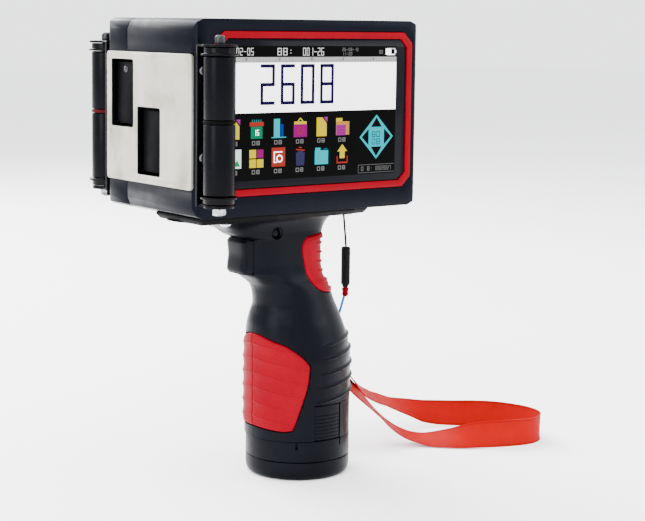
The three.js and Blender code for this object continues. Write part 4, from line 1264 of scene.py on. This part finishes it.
def display_piece():
    s = Sheet()
    x0, x1, z0, z1 = SCREEN
    s.rect(x0, x1, z0, z1, INK, 0)
    s.rect(x0, x1, 193.8, 221.3, WHITE, 1)
    s.rect(x0, x1, 218.6, 221.3, (0.75, 0.75, 0.75), 2)
    ruler(s, x0)
    s.digits("2608", -45.4, 197.6, 8.8, 20.2, NAVY, 0.2, 1.4)
    for row in FIGURES:
        s.digits(*row)
    for *box, colour in BATTERY_SIGN:
        s.rect(*box, colour, 3)
    for base, kinds in ICON_ROWS:
        for i, kind in enumerate(kinds):
            x = ICON_FIRST_X + i * ICON_PITCH
            icon(s, kind, x, base)
            s.digits("08", x + 1.5, base - 3.2, 2.0, 2.1, (0.3, 0.3, 0.3), 0.2)
    arrow_diamond(s, 28.9, 179.6, 11.2, 11.6)
    for box in ((17.0, 41.2, 165.0, 165.2), (17.0, 41.2, 160.9, 161.1), (17.0, 17.2, 160.9, 165.2)):
        s.rect(*box, GREY, 3)
    s.digits("0 8:", 19.0, 162.0, 1.5, 2.2, GREY, 0.2)
    s.digits("00020027", 28.6, 162.0, 1.0, 2.2, GREY, 0.22)
    obj = dress(bare_object("display_image", s.verts, s.faces), "display")
    paint = obj.data.color_attributes.new("pixel_colour", "FLOAT_COLOR", "CORNER")
    for poly in obj.data.polygons:
        for loop in poly.loop_indices:
            paint.data[loop].color = (*s.colours[poly.index], 1.0)


display_piece()

# ------------------------------------------------------------ under the head
SADDLE = [(-80, -24), (-78.6, -27), (16, -27), (18, -25.6), (27, -23.6), (28, -22), (28, 14),
          (24, 17), (-77, 17), (-80, 14)]


def saddle():
    rings = []
    for inset, z in ((0, 142.45), (0, 141.6), (0.3, 141.2), (2.0, 139.5), (2.6, 139.2)):
        rings.append(level_ring(grown_outline(SADDLE, -inset), z))
    plate = loose("saddle_plate_moulded", *rings_mesh(rings))
    carve(plate, plug(1.8, 138, 145, "z", SADDLE_SCREW, 32))
    dress(plate, "shadowed", ("saddle_plate",), sharp=30.0)


saddle()

# ------------------------------------------------- the CAD nodes that stay
KEPT = {
    "main_shell": ("housing", 0.7), "far_cover": ("housing", 0.7), "red_trim_ring": ("trim", 0.5),
    "touch_glass": ("glass", 0.25), "lcd_module": ("module", 0.3), "main_board": ("board", 0.15),
    "nozzle_plate": ("steel", 0.18), "ink_cartridge_upper": ("inner", 0.5),
    "ink_cartridge_lower": ("inner", 0.5), "cartridge_cradle": ("inner", 0.3),
    "rear_door": ("housing", 0.5), "door_pin": ("chrome", 0.1), "power_button": ("trim", 0.3),
    "usb_socket": ("chrome", 0.2), "charge_socket": ("inner", 0.3),
    "near_roller_bracket": ("flange", 0.25), "far_roller_bracket": ("flange", 0.25),
    "strap_anchor": ("screw_dark", 0.2),
    "trigger_switch": ("inner", 0.4), "handle_screw": ("flange", 0.15), "contact_block": ("inner", 0.3),
}


def smoothing_group():
    tree = bpy.data.node_groups.new("smooth_by_angle", "GeometryNodeTree")
    tree.interface.new_socket("Geometry", in_out="INPUT", socket_type="NodeSocketGeometry")
    tree.interface.new_socket("Geometry", in_out="OUTPUT", socket_type="NodeSocketGeometry")
    enter = tree.nodes.new("NodeGroupInput")
    leave = tree.nodes.new("NodeGroupOutput")
    weld = tree.nodes.new("GeometryNodeMergeByDistance")
    weld.inputs["Distance"].default_value = 1e-6
    soft = tree.nodes.new("GeometryNodeSetShadeSmooth")
    tree.links.new(enter.outputs[0], weld.inputs["Geometry"])
    tree.links.new(weld.outputs[0], soft.inputs["Geometry"])
    tree.links.new(soft.outputs[0], leave.inputs[0])
    return tree


SMOOTHING = smoothing_group()
for node, (mat, edge) in KEPT.items():
    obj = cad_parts[node]
    obj.data.materials.clear()
    obj.data.materials.append(MATS[mat])
    obj.modifiers.new("weld", "NODES").node_group = SMOOTHING
    bevel = obj.modifiers.new("edge", "BEVEL")
    bevel.width = edge * MM
    bevel.segments = 2
    bevel.limit_method = "ANGLE"
    bevel.angle_limit = math.radians(28)
    bevel.harden_normals = True
    bevel.use_clamp_overlap = True

lathe("print_sensor", [(0, -83.4), (0.9, -83.4), (1.6, -83.0), (1.9, -82.6), (1.9, -82.4), (0, -82.4)],
      "x", (0, 39.4, 213.8), "axle", r=0.2, steps=40, slot="bright_hardware")

# Slot edges in the printing face: Y and Z ranges
SLOTS = {"upper": (28.4, 50.0, 184.4, 219.0), "lower": (2.5, 24.2, 161.0, 195.3)}


def slot_liner(name, y0, y1, z0, z1):
    """A thin dark sleeve that lines a slot of the printing face."""
    rings = []
    for x, inset in ((-84.92, 0.02), (-84.92, 0.3), (-83.0, 0.3), (-83.0, 0.02)):
        outline = corner_rect(y0 + inset, y1 - inset, z0 + inset, z1 - inset, 0.8)
        rings.append([np.array((x, y, z)) * MM for y, z in outline])
    verts, faces = rings_mesh(rings + rings[:1], closed_ends=False)
    sleeve = loose("slot_liner_" + name, verts, faces)
    dress(sleeve, "inner", sharp=30.0)


for slot_name, edges in SLOTS.items():
    slot_liner(slot_name, *edges)

# --------------------------------------------------------- floor and lights


def stage():
    size = 6.0
    corners = [(-size, -size, 0), (size, -size, 0), (size, size, 0), (-size, size, 0)]
    floor = bare_object("floor", corners, [(0, 1, 2, 3)])
    n = Nodes("floor_paper")
    tone = n.noise(3.0, 2.0)
    ramp = n.ramp(tone, "Fac", [(0.3, (0.93, 0.93, 0.935)), (0.7, (0.95, 0.95, 0.955))])
    n.link(ramp, "Color", n.bsdf, "Base Color")
    n.set(Roughness=0.75, Specular_IOR_Level=0.2)
    floor.data.materials.append(n.mat)
    world = bpy.data.worlds.new("studio")
    world.use_nodes = True
    back = world.node_tree.nodes["Background"]
    back.inputs["Color"].default_value = (0.97, 0.985, 1.0, 1.0)
    back.inputs["Strength"].default_value = 2.7
    bpy.context.scene.world = world
    # Name, place, aim, width, power and colour of each lamp, in metres and watts
    for name, at, aim, size, power, colour in (
        ("key", (-0.9, -0.75, 1.15), (0, 0, 0.15), 0.9, 22.0, (1.0, 0.985, 0.97)),
        ("left", (-1.45, -0.35, 0.5), (-0.05, 0, 0.16), 0.7, 13.0, (1.0, 1.0, 1.0)),
        ("right", (0.9, -0.9, 0.7), (0, 0, 0.12), 0.7, 10.0, (0.98, 0.99, 1.0)),
        ("behind", (-0.15, 1.15, 1.0), (0, 0, 0.2), 1.2, 70.0, (1.0, 1.0, 1.0)),
        ("top", (0.0, 0.3, 1.5), (0, 0, 0.1), 1.2, 26.0, (1.0, 1.0, 1.0)),
    ):
        data = bpy.data.lights.new(name, "AREA")
        data.shape = "SQUARE"
        data.size = size
        data.energy = power
        data.color = colour
        lamp = bpy.data.objects.new(name, data)
        bpy.context.scene.collection.objects.link(lamp)
        lamp.location = at
        lamp.rotation_mode = "QUATERNION"
        lamp.rotation_quaternion = (Vector(aim) - Vector(at)).to_track_quat("-Z", "Y")


stage()
